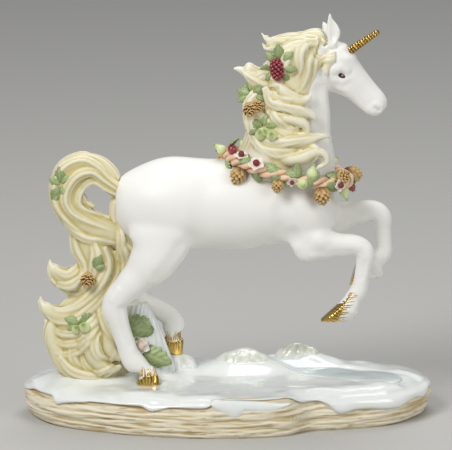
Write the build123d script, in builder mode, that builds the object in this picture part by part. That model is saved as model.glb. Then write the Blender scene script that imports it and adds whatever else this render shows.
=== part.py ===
from build123d import *

import os
from math import cos, pi, radians, sin, tau

# Porcelain unicorn figurine on a snow-covered ledge, as the cast and luted pieces it is made of.
# Millimetres and degrees. +X is the way the unicorn faces, +Y its left side, +Z is up, and the origin is
# at the centre of the ledge's foot. Right is the side towards the viewer.

# Ledge: the hollow cast foot, with strata sides and a vent bore in its floor
ledge_length = 210.0
ledge_depth = 88.0
ledge_height = 17.0
ledge_wall = 6.0
ledge_floor = 4.0
vent_bore = 7.0
# Plan outline as shares of half the length and half the depth, anticlockwise from the right end
ledge_outline_shares = [
    (0.995, 0.30), (0.90, 0.70), (0.58, 0.93), (0.08, 0.995), (-0.46, 0.95), (-0.88, 0.66),
    (-0.998, 0.16), (-0.87, -0.42), (-0.56, -0.79), (-0.24, -0.97), (0.02, -0.995), (0.27, -0.90),
    (0.41, -0.67), (0.57, -0.60), (0.80, -0.42), (0.93, -0.12),
]
# Strata: share of the height, share of the outline
ledge_strata_shares = [(0.0, 0.955), (0.3, 0.985), (0.65, 1.0), (1.0, 0.955)]

# Snow: a glazed cap with drips over the rim, boulders, and a channel for the stream
snow_thickness = 4.2
snow_level_shares = [(0.0, 0.96), (0.45, 0.965), (0.78, 0.92), (1.0, 0.845)]
drip_width = 15.0
drip_drop = 9.5
drip_relief = 1.5
# Place along the outline, share of the width, share of the drop
drip_shares = [
    (0.885, 1.0, 0.85), (0.785, 0.8, 0.75), (0.685, 1.15, 0.95), (0.585, 0.9, 0.85),
    (0.22, 1.0, 0.8), (0.36, 1.1, 0.7),
]
ice_width = 16.0
ice_thickness = 1.2
ice_clearance = 0.15
# Stream: shares of half the ledge's length and depth, share of the width
ice_route_shares = [
    (0.21, 0.60, 0.45), (0.33, 0.44, 0.8), (0.50, 0.24, 1.0), (0.68, 0.06, 0.9), (0.83, -0.06, 0.5),
]
# Mounds: length, depth, height, and place as shares of half the ledge's length and depth
front_boulder_length = 32.0
front_boulder_depth = 19.0
front_boulder_height = 10.5
front_boulder_place_shares = (0.08, 0.40)
rear_boulder_length = 24.0
rear_boulder_depth = 11.0
rear_boulder_height = 10.0
rear_boulder_place_shares = (0.34, 0.70)
# Share of the height, share of the plan size
mound_level_shares = [(0.0, 1.0), (0.3, 0.95), (0.62, 0.76), (0.86, 0.46), (1.0, 0.14)]
rise_length = 27.0
rise_depth = 17.0
rise_cover = 2.5

# Trunk: half depths and widths swell at the haunch and the chest
trunk_length = 112.0
trunk_depth = 50.0
trunk_width = 44.0
trunk_rear = -57.0
# Share of the length, lift share of the depth, share of the depth, share of the width
trunk_shares = [
    (0.0, 0.02, 0.32, 0.36), (0.03, 0.02, 0.56, 0.60), (0.10, 0.0, 0.79, 0.83), (0.22, 0.01, 0.96, 0.96),
    (0.38, 0.02, 0.92, 0.93), (0.58, 0.015, 0.92, 1.0), (0.76, 0.03, 0.84, 0.96), (0.88, -0.03, 0.80, 0.84),
    (0.96, -0.05, 0.58, 0.62), (1.0, -0.06, 0.32, 0.36),
]

# Neck: from inside the chest up to the poll
neck_rise = 84.0
neck_reach = 18.0
neck_depth = 48.0
neck_width = 34.0
neck_root_shares = (0.77, 0.02)
neck_route_shares = [(0.0, 0.0), (0.15, 0.26), (0.28, 0.48), (0.42, 0.69), (0.66, 0.88), (1.0, 1.0)]
# Share of the route, share of the depth, share of the width
neck_shares = [
    (0.0, 1.0, 1.0), (0.26, 0.93, 0.92), (0.47, 0.75, 0.74), (0.67, 0.60, 0.62), (0.85, 0.47, 0.53),
    (1.0, 0.30, 0.44),
]

# Head: a wedge from the poll to the muzzle
head_length = 47.5
head_depth = 22.7
head_width = 18.0
head_angle = -51.5
head_poll_rise = 2.8
head_poll_reach = 2.5
# Share of the length, lift share of the depth, share of the depth, share of the width
head_shares = [
    (0.06, -0.13, 0.62, 0.70), (0.20, -0.23, 0.95, 1.0), (0.38, -0.27, 1.0, 0.95), (0.51, -0.23, 0.86, 0.78),
    (0.63, -0.155, 0.69, 0.65), (0.76, -0.11, 0.60, 0.56), (0.87, -0.085, 0.56, 0.57),
    (0.95, -0.08, 0.47, 0.49), (1.0, -0.077, 0.24, 0.28),
]
ear_length = 15.0
ear_width = 5.2
ear_thickness = 3.4
ear_spread = 9.6
ear_seat_shares = (0.07, 0.06)
ear_sink = 3.0
ear_shares = [(0.0, 0.55, 0.8), (0.25, 0.95, 1.0), (0.5, 1.0, 0.9), (0.75, 0.66, 0.66), (1.0, 0.12, 0.2)]
ear_scoop_share = 0.68
right_ear_angle = 91.0
left_ear_angle = 122.0
horn_length = 19.5
horn_base = 4.2
horn_tip = 1.9
horn_angle = 33.0
horn_seat_shares = (0.22, 0.19)
horn_peg = 2.6
horn_peg_length = 4.0
horn_clearance = 0.1

# Forelegs: lengths along the leg, thickness at the knee
upper_arm_length = 16.5
forearm_length = 27.9
fore_cannon_length = 22.6
fore_pastern_length = 13.0
knee_thickness = 10.0
elbow_bend = 13.0
knee_bend = 6.2
fore_stance = 24.0
# Share of the leg, shares of the knee's thickness fore and aft and across
foreleg_shares = [
    (0.0, 1.5, 0.8), (0.12, 1.78, 1.15), (0.24, 1.7, 1.38), (0.40, 1.16, 1.08), (0.515, 1.0, 1.0),
    (0.59, 0.98, 0.95), (0.68, 0.80, 0.80), (0.77, 0.76, 0.76), (0.85, 0.84, 0.82), (0.925, 0.82, 0.82),
    (1.0, 1.04, 0.94),
]
right_foreleg_root_shares = (0.791, -0.104)
right_foreleg_angles = (-45.7, -2.5, -99.5, -122.0)
right_fore_hoof_angle = -170.0
right_fore_sole_angle = -210.0
left_foreleg_root_shares = (0.855, 0.01)
left_foreleg_angles = (-40.0, 12.5, -85.5, -123.0)
left_fore_hoof_angle = -170.0
left_fore_sole_angle = -199.0

# Hind legs: lengths along the leg, thickness at the hock
thigh_length = 22.5
gaskin_length = 36.7
hind_cannon_length = 29.7
hind_pastern_length = 11.5
hock_thickness = 12.4
stifle_bend = 24.0
hock_bend = 7.5
hind_stance = 27.0
hindleg_shares = [
    (0.0, 2.4, 0.7), (0.14, 2.6, 1.35), (0.28, 1.95, 1.5), (0.42, 1.27, 1.16), (0.54, 1.04, 0.97),
    (0.62, 1.0, 0.9), (0.72, 0.79, 0.77), (0.82, 0.76, 0.73), (0.90, 0.84, 0.80), (0.95, 0.76, 0.75),
    (1.0, 0.80, 0.78),
]
right_hindleg_root_shares = (0.205, 0.02)
right_hindleg_angles = (-90.0, -133.0, -72.0, -45.0)
right_hind_hoof_angle = -79.0
right_hind_sole_angle = -90.0
left_hindleg_root_shares = (0.232, 0.02)
left_hindleg_angles = (-82.6, -134.5, -31.0, -89.0)
left_hind_hoof_angle = -101.0
left_hind_sole_angle = -115.0

# Hooves: gilded, flaring from the coronet to the sole
fore_hoof_height = 9.0
hind_hoof_height = 6.0
hoof_length = 12.2
hoof_width = 10.4
# Luting between a leg's end and its hoof
hoof_clearance = 0.1
fetlock_bend = 6.0
leg_sections = 18

# Stump between the hind legs
stump_length = 27.0
stump_depth = 16.0
stump_rise = 38.0
stump_lean = 6.0
stump_place_shares = (-0.385, 0.10)
stump_shares = [(0.0, 1.0, 1.0), (0.3, 0.86, 0.9), (0.7, 0.64, 0.8), (1.0, 0.36, 0.5)]

# Mane: routes as shares back from the poll, shares down towards the withers, shares of the neck's half width
mane_reach = 44.0
mane_drop = 65.0
mane_cover = 2.4
mane_mass_shares = [(0.16, 0.74), (0.36, 0.76), (0.56, 0.80), (0.74, 0.84), (0.90, 0.90)]
mane_mass_shift_share = 0.36
# Share of a lock's distance to the side by which it stands proud of the mass
lock_proud_share = 1.16
lock_sections = 9
# Share of the route, share of the lock's width, share of its thickness
curl_shares = [(0.0, 0.55, 0.7), (0.25, 0.9, 1.0), (0.5, 1.0, 1.0), (0.8, 0.62, 0.7), (1.0, 0.12, 0.2)]
# Name, width, thickness, route shares
mane_locks = [
    ("mane_top", 11.0, 11.0, [(0.0, 0.05, 0.0), (0.15, 0.01, -0.1), (0.30, 0.05, -0.1), (0.47, 0.04, -0.1),
                              (0.61, 0.05, -0.1), (0.68, -0.02, -0.1)]),
    ("mane_fall", 15.0, 10.0, [(0.18, 0.04, -0.6), (0.36, 0.14, -0.8), (0.51, 0.27, -0.75),
                               (0.64, 0.38, -0.6)]),
    ("mane_back_curl", 13.0, 11.0, [(0.44, 0.30, -0.3), (0.64, 0.33, -0.2), (0.80, 0.31, -0.2),
                                    (0.91, 0.25, -0.2), (1.0, 0.24, -0.2)]),
    ("mane_outer", 14.0, 13.0, [(0.62, 0.33, -0.2), (0.77, 0.46, -0.3), (0.81, 0.60, -0.35),
                                (0.75, 0.73, -0.4), (0.63, 0.84, -0.5), (0.44, 0.90, -0.7)]),
    ("mane_upper_curl", 7.0, 6.0, [(0.54, 0.33, -0.95), (0.44, 0.42, -1.05), (0.325, 0.46, -1.1),
                                   (0.22, 0.445, -1.1), (0.175, 0.40, -1.05)]),
    ("mane_middle_curl", 6.6, 6.0, [(0.60, 0.47, -0.9), (0.44, 0.52, -1.05), (0.267, 0.545, -1.1),
                                    (0.15, 0.59, -1.0), (0.115, 0.645, -0.95)]),
    ("mane_spiral", 5.6, 6.0, [(0.64, 0.57, -0.85), (0.464, 0.60, -1.0), (0.31, 0.62, -1.05),
                               (0.22, 0.68, -1.0), (0.267, 0.75, -1.0), (0.345, 0.735, -1.05)]),
    ("mane_wisp", 5.4, 5.4, [(0.58, 0.80, -0.85), (0.38, 0.785, -1.0), (0.186, 0.765, -1.0),
                             (0.012, 0.747, -0.85), (-0.08, 0.775, -0.7)]),
    ("mane_sweep", 6.6, 6.0, [(0.73, 0.81, -0.5), (0.59, 0.89, -0.75), (0.42, 0.925, -0.9),
                              (0.23, 0.89, -1.0), (0.08, 0.86, -1.0), (0.0, 0.905, -0.95),
                              (0.035, 0.97, -0.95), (0.116, 1.0, -0.95)]),
    ("forelock", 5.6, 5.0, [(-0.22, 0.05, -0.6), (-0.115, 0.125, -0.75), (-0.015, 0.19, -0.85),
                            (-0.01, 0.29, -0.9)]),
    ("mane_left_upper_curl", 7.4, 6.0, [(0.56, 0.30, 0.85), (0.44, 0.40, 1.0), (0.30, 0.46, 1.1),
                                        (0.20, 0.43, 1.05)]),
    ("mane_left_sweep", 7.4, 6.0, [(0.70, 0.62, 0.6), (0.55, 0.72, 0.85), (0.36, 0.78, 1.0),
                                   (0.17, 0.76, 1.05), (0.10, 0.83, 1.0)]),
]

# Tail: routes as shares back from the root, shares down to the snow, shares of the tail's half thickness
tail_reach = 43.0
tail_root_shares = (0.03, 0.19)
tail_thickness = 15.0
tail_locks = [
    ("tail_arch", 18.0, 13.0, [(-0.10, 0.04, 0.0), (0.05, 0.01, 0.0), (0.18, -0.04, 0.0), (0.30, -0.09, 0.0),
                               (0.44, -0.105, 0.0), (0.59, -0.07, 0.0), (0.67, 0.01, 0.0), (0.63, 0.105, 0.0),
                               (0.47, 0.18, 0.0), (0.24, 0.225, 0.0), (0.03, 0.27, 0.0), (-0.12, 0.36, 0.0)]),
    ("tail_drop", 19.0, 13.0, [(0.60, 0.13, 0.1), (0.42, 0.25, 0.1), (0.30, 0.38, 0.1), (0.29, 0.52, 0.1),
                               (0.38, 0.66, 0.1)]),
    ("tail_upper_tip", 11.0, 9.0, [(0.30, 0.41, -0.2), (0.475, 0.475, -0.25), (0.665, 0.47, -0.25),
                                   (0.80, 0.435, -0.25), (0.87, 0.375, -0.2)]),
    ("tail_lower_tip", 12.0, 9.0, [(0.24, 0.54, -0.3), (0.42, 0.63, -0.35), (0.645, 0.675, -0.35),
                                   (0.86, 0.65, -0.35), (0.985, 0.57, -0.3)]),
]
# Share of the route, share of the width, share of the thickness
tail_arch_shares = [
    (0.0, 0.52, 0.7), (0.12, 0.58, 0.8), (0.28, 0.92, 1.0), (0.46, 1.0, 1.0), (0.66, 0.84, 0.95),
    (0.86, 0.66, 0.8), (1.0, 0.25, 0.4),
]
tail_drop_shares = [(0.0, 0.6, 0.8), (0.3, 0.95, 1.0), (0.6, 1.0, 1.0), (1.0, 0.7, 0.9)]
tail_skirt_width = 36.0
tail_skirt_thickness = 20.0
tail_skirt_route_shares = [(0.34, 0.56, 0.1), (0.45, 0.70, 0.1), (0.42, 0.85, 0.1), (0.32, 1.03, 0.1)]
tail_skirt_shares = [(0.0, 0.5, 0.55), (0.33, 0.93, 0.95), (0.66, 1.0, 1.0), (1.0, 0.92, 1.0)]
tail_waves = [
    ("tail_back_wave", 9.0, 9.0, [(0.80, 0.66, -0.3), (0.86, 0.76, -0.4), (0.77, 0.87, -0.6),
                                  (0.62, 0.955, -0.8), (0.42, 0.98, -1.1), (0.20, 0.975, -1.1)]),
    ("tail_front_wave", 8.0, 7.0, [(0.22, 0.62, -0.9), (0.19, 0.76, -1.15), (0.11, 0.85, -1.2),
                                   (0.0, 0.87, -1.1), (-0.06, 0.82, -1.0)]),
    ("tail_middle_wave", 9.0, 7.0, [(0.36, 0.66, -1.0), (0.36, 0.80, -1.35), (0.28, 0.90, -1.4),
                                    (0.14, 0.935, -1.3), (0.03, 0.91, -1.2)]),
]

# Garland: a vine ring round the foot of the neck
garland_length = 62.0
garland_width = 45.0
garland_tilt = 12.5
garland_thickness = 6.4
garland_seat_shares = (0.785, 0.40)
# Sprigs stuck on the garland, the mane, the tail and the stump
leaf_length = 10.0
leaf_width = 6.6
leaf_thickness = 0.9
leaf_fold = 1.3
cone_length = 8.0
cone_width = 8.0
cone_tiers = 5
cone_scales = 7
cone_flare = 24.0
cone_overlap_share = 0.35
# Turn of a cone or a pear from straight out, as a share downwards
cone_hang_share = 0.6
pear_hang_share = -0.3
pear_length = 7.0
pear_width = 5.4
pear_belly_share = 0.42
pear_neck_share = 0.8
berry_diameter = 4.6
raspberry_length = 10.0
raspberry_width = 7.4
raspberry_sink = 1.6
drupelet_diameter = 3.6
# Share of the length from the middle, share of the half width, drupelets on the open side
drupelet_ring_shares = [(-0.33, 0.42, 2), (0.0, 0.66, 3), (0.33, 0.36, 2)]
petal_count = 5
petal_length = 3.6
petal_notch_share = 0.55
petal_round_share = 0.42
petal_thickness = 1.1
blossom_eye = 2.4
# Luting between a sprig and what carries it
sprig_clearance = 0.2
# Turn of a garland leaf along the vine
leaf_lean_share = 0.5
# Places under a small sprig, and under a leaf, as shares of its length and its width
seat_foot_shares = [(0.0, 0.0), (0.3, 0.0), (-0.3, 0.0), (0.0, 0.3), (0.0, -0.3)]
leaf_foot_shares = [(0.0, 0.0), (0.3, -0.4), (0.3, 0.4), (0.6, 0.0), (0.7, -0.35), (0.7, 0.35), (1.0, 0.0)]
# Garland places: degrees round the ring from the chest, negative on the right
garland_leaf_angles = [-172, -150, -128, -112, -78, -60, -28, -8, 14, 36, 62, 88, 112, 136, 158]
garland_cone_angles = [-148, -94, -47, 50, 124]
garland_pear_angles = [178, -72, -16, 26, 98]
garland_berry_angles = [-163, -124, -3, 74, 147]
garland_blossom_angles = [-155, -104, -36, 110]
# Sprays: shares back and down as in the mane or tail they lie on, then the turn of each leaf in the plane
mane_leaf_shares = [
    (0.46, 0.13, 95), (0.545, 0.17, 150), (0.36, 0.17, 30), (0.56, 0.24, 195), (0.37, 0.27, -20),
    (0.74, 0.37, 140), (0.83, 0.42, 200), (0.76, 0.46, 60), (0.61, 0.69, 160), (0.53, 0.67, 20),
]
mane_raspberry_share = (0.475, 0.26)
mane_cone_shares = [(0.80, 0.52), (0.73, 0.54)]
mane_pear_shares = [(0.645, 0.77), (0.555, 0.77)]
tail_leaf_shares = [
    (0.69, -0.05, 100), (0.77, 0.01, 165), (0.66, 0.03, -60), (0.75, 0.06, 220), (0.31, 0.39, 40),
    (0.60, 0.70, 165), (0.42, 0.715, 15),
]
tail_cone_share = (0.39, 0.46)
tail_pear_shares = [(0.53, 0.755), (0.42, 0.745)]
stump_leaf_shares = [(0.62, -0.45, 165), (0.55, 0.35, -10), (0.26, 0.45, -40)]
stump_blossom_share = (0.42, 0.0)

section_points = 8
cut_overrun = 2.0
rear_side = -200.0

# Levels and anchors that follow from the sizes above
snow_top = ledge_height + snow_thickness
leg_lengths = (thigh_length, gaskin_length, hind_cannon_length, hind_pastern_length, hind_hoof_height)
leg_angles = (*right_hindleg_angles, right_hind_hoof_angle)
hip_rise = -sum(length * sin(radians(angle)) for length, angle in zip(leg_lengths, leg_angles))
trunk_axis = snow_top + hip_rise - right_hindleg_root_shares[1] * trunk_depth


def bearing(angle):
    """Unit direction in the upright plane of the figure, in degrees from +X towards +Z."""
    return Vector(cos(radians(angle)), 0, sin(radians(angle)))


def trunk_point(along_share, rise_share, side=0.0):
    """A place on the trunk's length and depth, at a distance to the side."""
    return Vector(trunk_rear + along_share * trunk_length, side, trunk_axis + rise_share * trunk_depth)


def section_plane(centre, along):
    """Plane across a route: its first axis lies in the upright plane, its second to the side."""
    return Plane(origin=centre, x_dir=Vector(0, 1, 0).cross(along), z_dir=along)


def route_plane(route, share):
    """Plane across a route at a share of its length."""
    place = share * route.length
    return section_plane(
        route.position_at(place, PositionMode.LENGTH), route.tangent_at(place, PositionMode.LENGTH)
    )


def closed_face(plane, points):
    """A face on a plane inside one smooth closed curve through the points."""
    with BuildSketch(plane) as section:
        with BuildLine():
            Spline(*points, periodic=True)
        make_face()
    return section.sketch


def oval(plane, half_across, half_side):
    """One smooth oval section on a plane."""
    turns = [tau * index / section_points for index in range(section_points)]
    return closed_face(plane, [(half_across * cos(turn), half_side * sin(turn)) for turn in turns])


def blended(rows, share):
    """Sizes at a share of a route, eased between rows that start with their own share."""
    for (start, *low), (end, *high) in zip(rows, rows[1:]):
        if share <= end:
            ease = (share - start) / (end - start)
            ease = ease * ease * (3 - 2 * ease)
            return [a + (b - a) * ease for a, b in zip(low, high)]
    return rows[-1][1:]


def cast_form(route, rows, across, side, sections):
    """A rounded form lofted along a route, with rows of shares of its two thicknesses."""
    faces = []
    for index in range(sections + 1):
        across_share, side_share = blended(rows, index / sections)
        plane = route_plane(route, index / sections)
        faces.append(oval(plane, across * across_share / 2, side * side_share / 2))
    with BuildPart() as form:
        loft(faces)
    return form.part


def smooth_route(points):
    """A smooth curve through the points."""
    with BuildLine() as route:
        Spline(*points)
    return route.edge()


boxes = {}


def boxes_meet(box, other):
    """Whether two bounding boxes overlap."""
    return all(a <= b for a, b in zip(box.min, other.max)) and all(a <= b for a, b in zip(other.min, box.max))


def fitted(form, neighbours):
    """The main body of a form, cut to lie against the neighbours that it reaches."""
    box = form.bounding_box()
    with BuildPart() as piece:
        add(form)
        for neighbour in neighbours:
            if boxes_meet(box, boxes[neighbour.label]):
                add(neighbour, mode=Mode.SUBTRACT)
    return piece.part.solids().sort_by(SortBy.VOLUME)[-1]


def keep(label, part):
    """Name a piece and write it."""
    part.label = label
    boxes[label] = part.bounding_box()
    export_step(part, f"parts/{label}.step")
    return part


def finish(label, form, neighbours=()):
    """Fit a piece to its neighbours, name it and write it."""
    return keep(label, fitted(form, neighbours))


os.makedirs("parts", exist_ok=True)


# Ledge and snow
def ledge_section(height, share):
    """The ledge's plan outline at a height, at a share of its size."""
    half_length, half_depth = share * ledge_length / 2, share * ledge_depth / 2
    outline = [(x * half_length, y * half_depth) for x, y in ledge_outline_shares]
    return closed_face(Plane.XY.offset(height), outline)


with BuildPart() as ledge_form:
    loft([ledge_section(height_share * ledge_height, share) for height_share, share in ledge_strata_shares])
    wall_share = 1 - 2 * ledge_wall / ledge_depth
    extrude(ledge_section(ledge_floor, wall_share), amount=ledge_height - 2 * ledge_floor, mode=Mode.SUBTRACT)
    with BuildSketch(Plane.XY):
        Circle(vent_bore / 2)
    extrude(amount=ledge_floor + cut_overrun, mode=Mode.SUBTRACT)
ledge = finish("ledge", ledge_form.part)


ice_route = smooth_route([(x * ledge_length / 2, y * ledge_depth / 2, 0) for x, y, _ in ice_route_shares])


def ice_face(clearance):
    """The stream's plan on its bed, drawn in by a clearance at both banks."""
    steps = len(ice_route_shares) - 1
    near_bank, far_bank = [], []
    for index, (_, _, width_share) in enumerate(ice_route_shares):
        middle, onward = ice_route @ (index / steps), ice_route % (index / steps)
        half = ice_width * width_share / 2 - clearance
        near_bank.append((middle.X + onward.Y * half, middle.Y - onward.X * half))
        far_bank.append((middle.X - onward.Y * half, middle.Y + onward.X * half))
    return closed_face(Plane.XY.offset(snow_top - ice_thickness), [*near_bank, *reversed(far_bank)])


def drip(place, width_share, drop_share):
    """A rounded tongue of snow that hangs over the rim, from the snow's own thickness down."""
    rim = ledge_section(ledge_height, snow_level_shares[0][1]).edge()
    half_width = drip_width * width_share / 2
    outward = (rim % place).cross(Vector(0, 0, 1))
    centre = (rim @ place) - outward * (half_width - drip_relief)
    mouth = Vector(centre.X, centre.Y, ledge_height)
    hang = Plane(origin=mouth, x_dir=outward, z_dir=outward.cross(Vector(0, 0, 1)))
    with BuildPart() as tongue:
        with BuildSketch(hang):
            with BuildLine():
                Line((0, snow_thickness / 2), (half_width, snow_thickness / 2))
                Line((half_width, snow_thickness / 2), (half_width, 0))
                Spline((half_width, 0), (0, -drip_drop * drop_share), tangents=[(0, -1), (-1, 0)])
                Line((0, -drip_drop * drop_share), (0, snow_thickness / 2))
            make_face()
        revolve(axis=Axis(hang.origin, (0, 0, 1)))
        add(ledge, mode=Mode.SUBTRACT)
    return tongue.part


with BuildPart() as snow_form:
    loft([ledge_section(ledge_height + level * snow_thickness, share) for level, share in snow_level_shares])
    add([drip(*row) for row in drip_shares])
    extrude(ice_face(0.0), amount=ice_thickness, mode=Mode.SUBTRACT)
snow_cap = finish("snow_cap", snow_form.part, [ledge])

with BuildPart() as ice_form:
    extrude(ice_face(ice_clearance), amount=ice_thickness)
ice_stream = finish("ice_stream", ice_form.part)


def mound(length, depth, height, place, base):
    """A rounded heap of snow standing on a level."""
    faces = []
    for height_share, plan_share in mound_level_shares:
        plane = Plane(origin=(place.X, place.Y, base + height * height_share))
        faces.append(oval(plane, length * plan_share / 2, depth * plan_share / 2))
    with BuildPart() as heap:
        loft(faces)
    return heap.part


def ledge_place(shares):
    """A place on the snow from shares of half the ledge's length and depth."""
    return Vector(shares[0] * ledge_length / 2, shares[1] * ledge_depth / 2, snow_top)


front_boulder = finish(
    "front_boulder",
    mound(front_boulder_length, front_boulder_depth, front_boulder_height,
          ledge_place(front_boulder_place_shares), snow_top),
)
rear_boulder = finish(
    "rear_boulder",
    mound(rear_boulder_length, rear_boulder_depth, rear_boulder_height,
          ledge_place(rear_boulder_place_shares), snow_top),
    [front_boulder, ice_stream],
)

# Trunk, neck and head
trunk_faces = []
for along_share, lift_share, depth_share, width_share in trunk_shares:
    plane = section_plane(trunk_point(along_share, lift_share), Vector(1, 0, 0))
    trunk_faces.append(oval(plane, trunk_depth * depth_share / 2, trunk_width * width_share / 2))
with BuildPart() as trunk_form:
    loft(trunk_faces)
trunk = finish("trunk", trunk_form.part)

neck_root = trunk_point(*neck_root_shares)
neck_route = smooth_route(
    [neck_root + Vector(x * neck_reach, 0, z * neck_rise) for x, z in neck_route_shares]
)
neck_form = cast_form(neck_route, neck_shares, neck_depth, neck_width, lock_sections)
neck = finish("neck", neck_form, [trunk])

poll = neck_root + Vector(neck_reach + head_poll_reach, 0, neck_rise + head_poll_rise)
face_down = bearing(head_angle)
face_front = bearing(head_angle + 90)


def head_point(along_share, lift_share, side=0.0):
    """A place on the head's length, lifted towards the forehead, at a distance to the side."""
    along, lift = face_down * (along_share * head_length), face_front * (lift_share * head_depth)
    return poll + along + lift + Vector(0, side, 0)


head_faces = []
for along_share, lift_share, depth_share, width_share in head_shares:
    plane = section_plane(head_point(along_share, lift_share), face_down)
    head_faces.append(oval(plane, head_depth * depth_share / 2, head_width * width_share / 2))
with BuildPart() as head_form:
    loft(head_faces)
    horn_seat = head_point(*horn_seat_shares)
    with BuildSketch(Plane(origin=horn_seat, x_dir=(0, 1, 0), z_dir=bearing(horn_angle))):
        Circle(horn_peg / 2 + horn_clearance)
    extrude(amount=-horn_peg_length - horn_clearance, mode=Mode.SUBTRACT)
head = finish("head", head_form.part, [neck, trunk])

with BuildPart() as horn_form:
    horn_plane = Plane(origin=horn_seat, x_dir=(0, 1, 0), z_dir=bearing(horn_angle))
    with BuildSketch(horn_plane):
        Circle(horn_base / 2)
    with BuildSketch(horn_plane.offset(horn_length)):
        Circle(horn_tip / 2)
    loft()
    with BuildSketch(horn_plane):
        Circle(horn_peg / 2)
    extrude(amount=-horn_peg_length)
horn = finish("horn", horn_form.part, [head])


def ear_form(side, angle):
    """A leaf-shaped ear, hollowed towards its own side."""
    seat = head_point(*ear_seat_shares, side * ear_spread / 2)
    start = seat - bearing(angle) * ear_sink
    route = smooth_route([start, seat + bearing(angle) * ear_length])
    scoop_shift = Vector(0, side * ear_thickness / 2, 0)
    scoop_route = smooth_route([seat + scoop_shift, seat + scoop_shift + bearing(angle) * ear_length])
    steps = len(ear_shares) - 1
    scoop = cast_form(scoop_route, ear_shares, ear_width * ear_scoop_share, ear_thickness, steps)
    with BuildPart() as ear:
        add(cast_form(route, ear_shares, ear_width, ear_thickness, steps))
        add(scoop, mode=Mode.SUBTRACT)
    return ear.part


ear_right = finish("ear_right", ear_form(-1, right_ear_angle), [head, neck])
ear_left = finish("ear_left", ear_form(1, left_ear_angle), [head, neck])


# Legs and hooves
def leg_points(root, lengths, angles):
    """Joint places down a leg from its root."""
    points = [root]
    for length, angle in zip(lengths, angles):
        points.append(points[-1] + bearing(angle) * length)
    return points


def leg_form(points, bends, rows, thickness):
    """A leg lofted down its rounded joints."""
    with BuildLine() as route:
        FilletPolyline(*points, radius=bends)
    return cast_form(route.wire(), rows, thickness, thickness, leg_sections)


def hoof_form(coronet, pastern_angle, hoof_angle, sole_angle, height, across, side):
    """A hoof that flares from the coronet of its leg to the sole."""
    sole = coronet + bearing(hoof_angle) * height
    crown = coronet + bearing(pastern_angle) * hoof_clearance
    crown_face = oval(section_plane(crown, bearing(pastern_angle)), across / 2, side / 2)
    sole_face = oval(section_plane(sole, bearing(sole_angle)), hoof_length / 2, hoof_width / 2)
    with BuildPart() as hoof:
        loft([crown_face, sole_face])
    return hoof.part


fore_lengths = (upper_arm_length, forearm_length, fore_cannon_length, fore_pastern_length)
fore_bends = (elbow_bend, knee_bend, fetlock_bend)
fore_coronet = [share * knee_thickness for share in foreleg_shares[-1][1:]]
hind_lengths = (thigh_length, gaskin_length, hind_cannon_length, hind_pastern_length)
hind_bends = (stifle_bend, hock_bend, fetlock_bend)
hind_coronet = [share * hock_thickness for share in hindleg_shares[-1][1:]]
legs = {}
hooves = {}
for name, root_shares, side, angles, hoof_angle, sole_angle in (
    ("foreleg_right", right_foreleg_root_shares, -1, right_foreleg_angles,
     right_fore_hoof_angle, right_fore_sole_angle),
    ("foreleg_left", left_foreleg_root_shares, 1, left_foreleg_angles,
     left_fore_hoof_angle, left_fore_sole_angle),
    ("hindleg_right", right_hindleg_root_shares, -1, right_hindleg_angles,
     right_hind_hoof_angle, right_hind_sole_angle),
    ("hindleg_left", left_hindleg_root_shares, 1, left_hindleg_angles,
     left_hind_hoof_angle, left_hind_sole_angle),
):
    if name.startswith("fore"):
        points = leg_points(trunk_point(*root_shares, side * fore_stance / 2), fore_lengths, angles)
        form = leg_form(points, fore_bends, foreleg_shares, knee_thickness)
        hoof_sizes = (fore_hoof_height, *fore_coronet)
    else:
        points = leg_points(trunk_point(*root_shares, side * hind_stance / 2), hind_lengths, angles)
        form = leg_form(points, hind_bends, hindleg_shares, hock_thickness)
        hoof_sizes = (hind_hoof_height, *hind_coronet)
    legs[name] = finish(name, form, [trunk, neck, *legs.values()])
    hoof_name = name.replace("leg", "_hoof")
    hoof = hoof_form(points[-1], angles[-1], hoof_angle, sole_angle, *hoof_sizes)
    hooves[hoof_name] = finish(hoof_name, hoof, [snow_cap])

left_sole = hooves["hind_hoof_left"].bounding_box()
rise_place = Vector(left_sole.center().X, left_sole.center().Y, snow_top)
snow_rise = finish(
    "snow_rise",
    mound(rise_length, rise_depth, left_sole.min.Z + rise_cover - snow_top, rise_place, snow_top),
    [hooves["hind_hoof_left"], hooves["hind_hoof_right"], legs["hindleg_left"], legs["hindleg_right"]],
)

stump_foot = ledge_place(stump_place_shares)
stump_route = smooth_route([stump_foot, stump_foot + Vector(-stump_lean, 0, stump_rise)])
support_stump = finish(
    "support_stump",
    cast_form(stump_route, stump_shares, stump_length, stump_depth, len(stump_shares) - 1),
    [snow_cap, snow_rise, *legs.values(), *hooves.values()],
)


# Mane
def mane_point(back_share, down_share, side_share):
    """A place on the mane, with the neck's own half width at that height as the unit to the side."""
    down = min(max(down_share, 0.0), 1.0)
    half_width = neck_width / 2 * blended(neck_shares, 1 - down * mane_drop / neck_rise)[1]
    return poll + Vector(-back_share * mane_reach, side_share * half_width, -down_share * mane_drop)


mane_faces = []
for route_share, depth_share in mane_mass_shares:
    plane = route_plane(neck_route, route_share)
    across_share, side_share = blended(neck_shares, route_share)
    half_depth = neck_depth * across_share / 2
    plane = plane.move(Location(plane.x_dir * (-half_depth * mane_mass_shift_share)))
    half_width = neck_width * side_share / 2
    mane_faces.append(oval(plane, half_depth * depth_share + mane_cover, half_width + mane_cover))
with BuildPart() as mane_form:
    loft(mane_faces)
figure = [trunk, neck, head, ear_right, ear_left]
mane_mass = finish("mane_mass", mane_form.part, figure)

mane = [mane_mass]
for name, width, thickness, shares in mane_locks:
    route = smooth_route([mane_point(back, down, side * lock_proud_share) for back, down, side in shares])
    form = cast_form(route, curl_shares, width, thickness, lock_sections)
    mane.append(finish(name, form, [*figure, horn, *mane]))

# Tail
tail_root = trunk_point(*tail_root_shares)
tail_drop = tail_root.Z - snow_top


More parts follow.
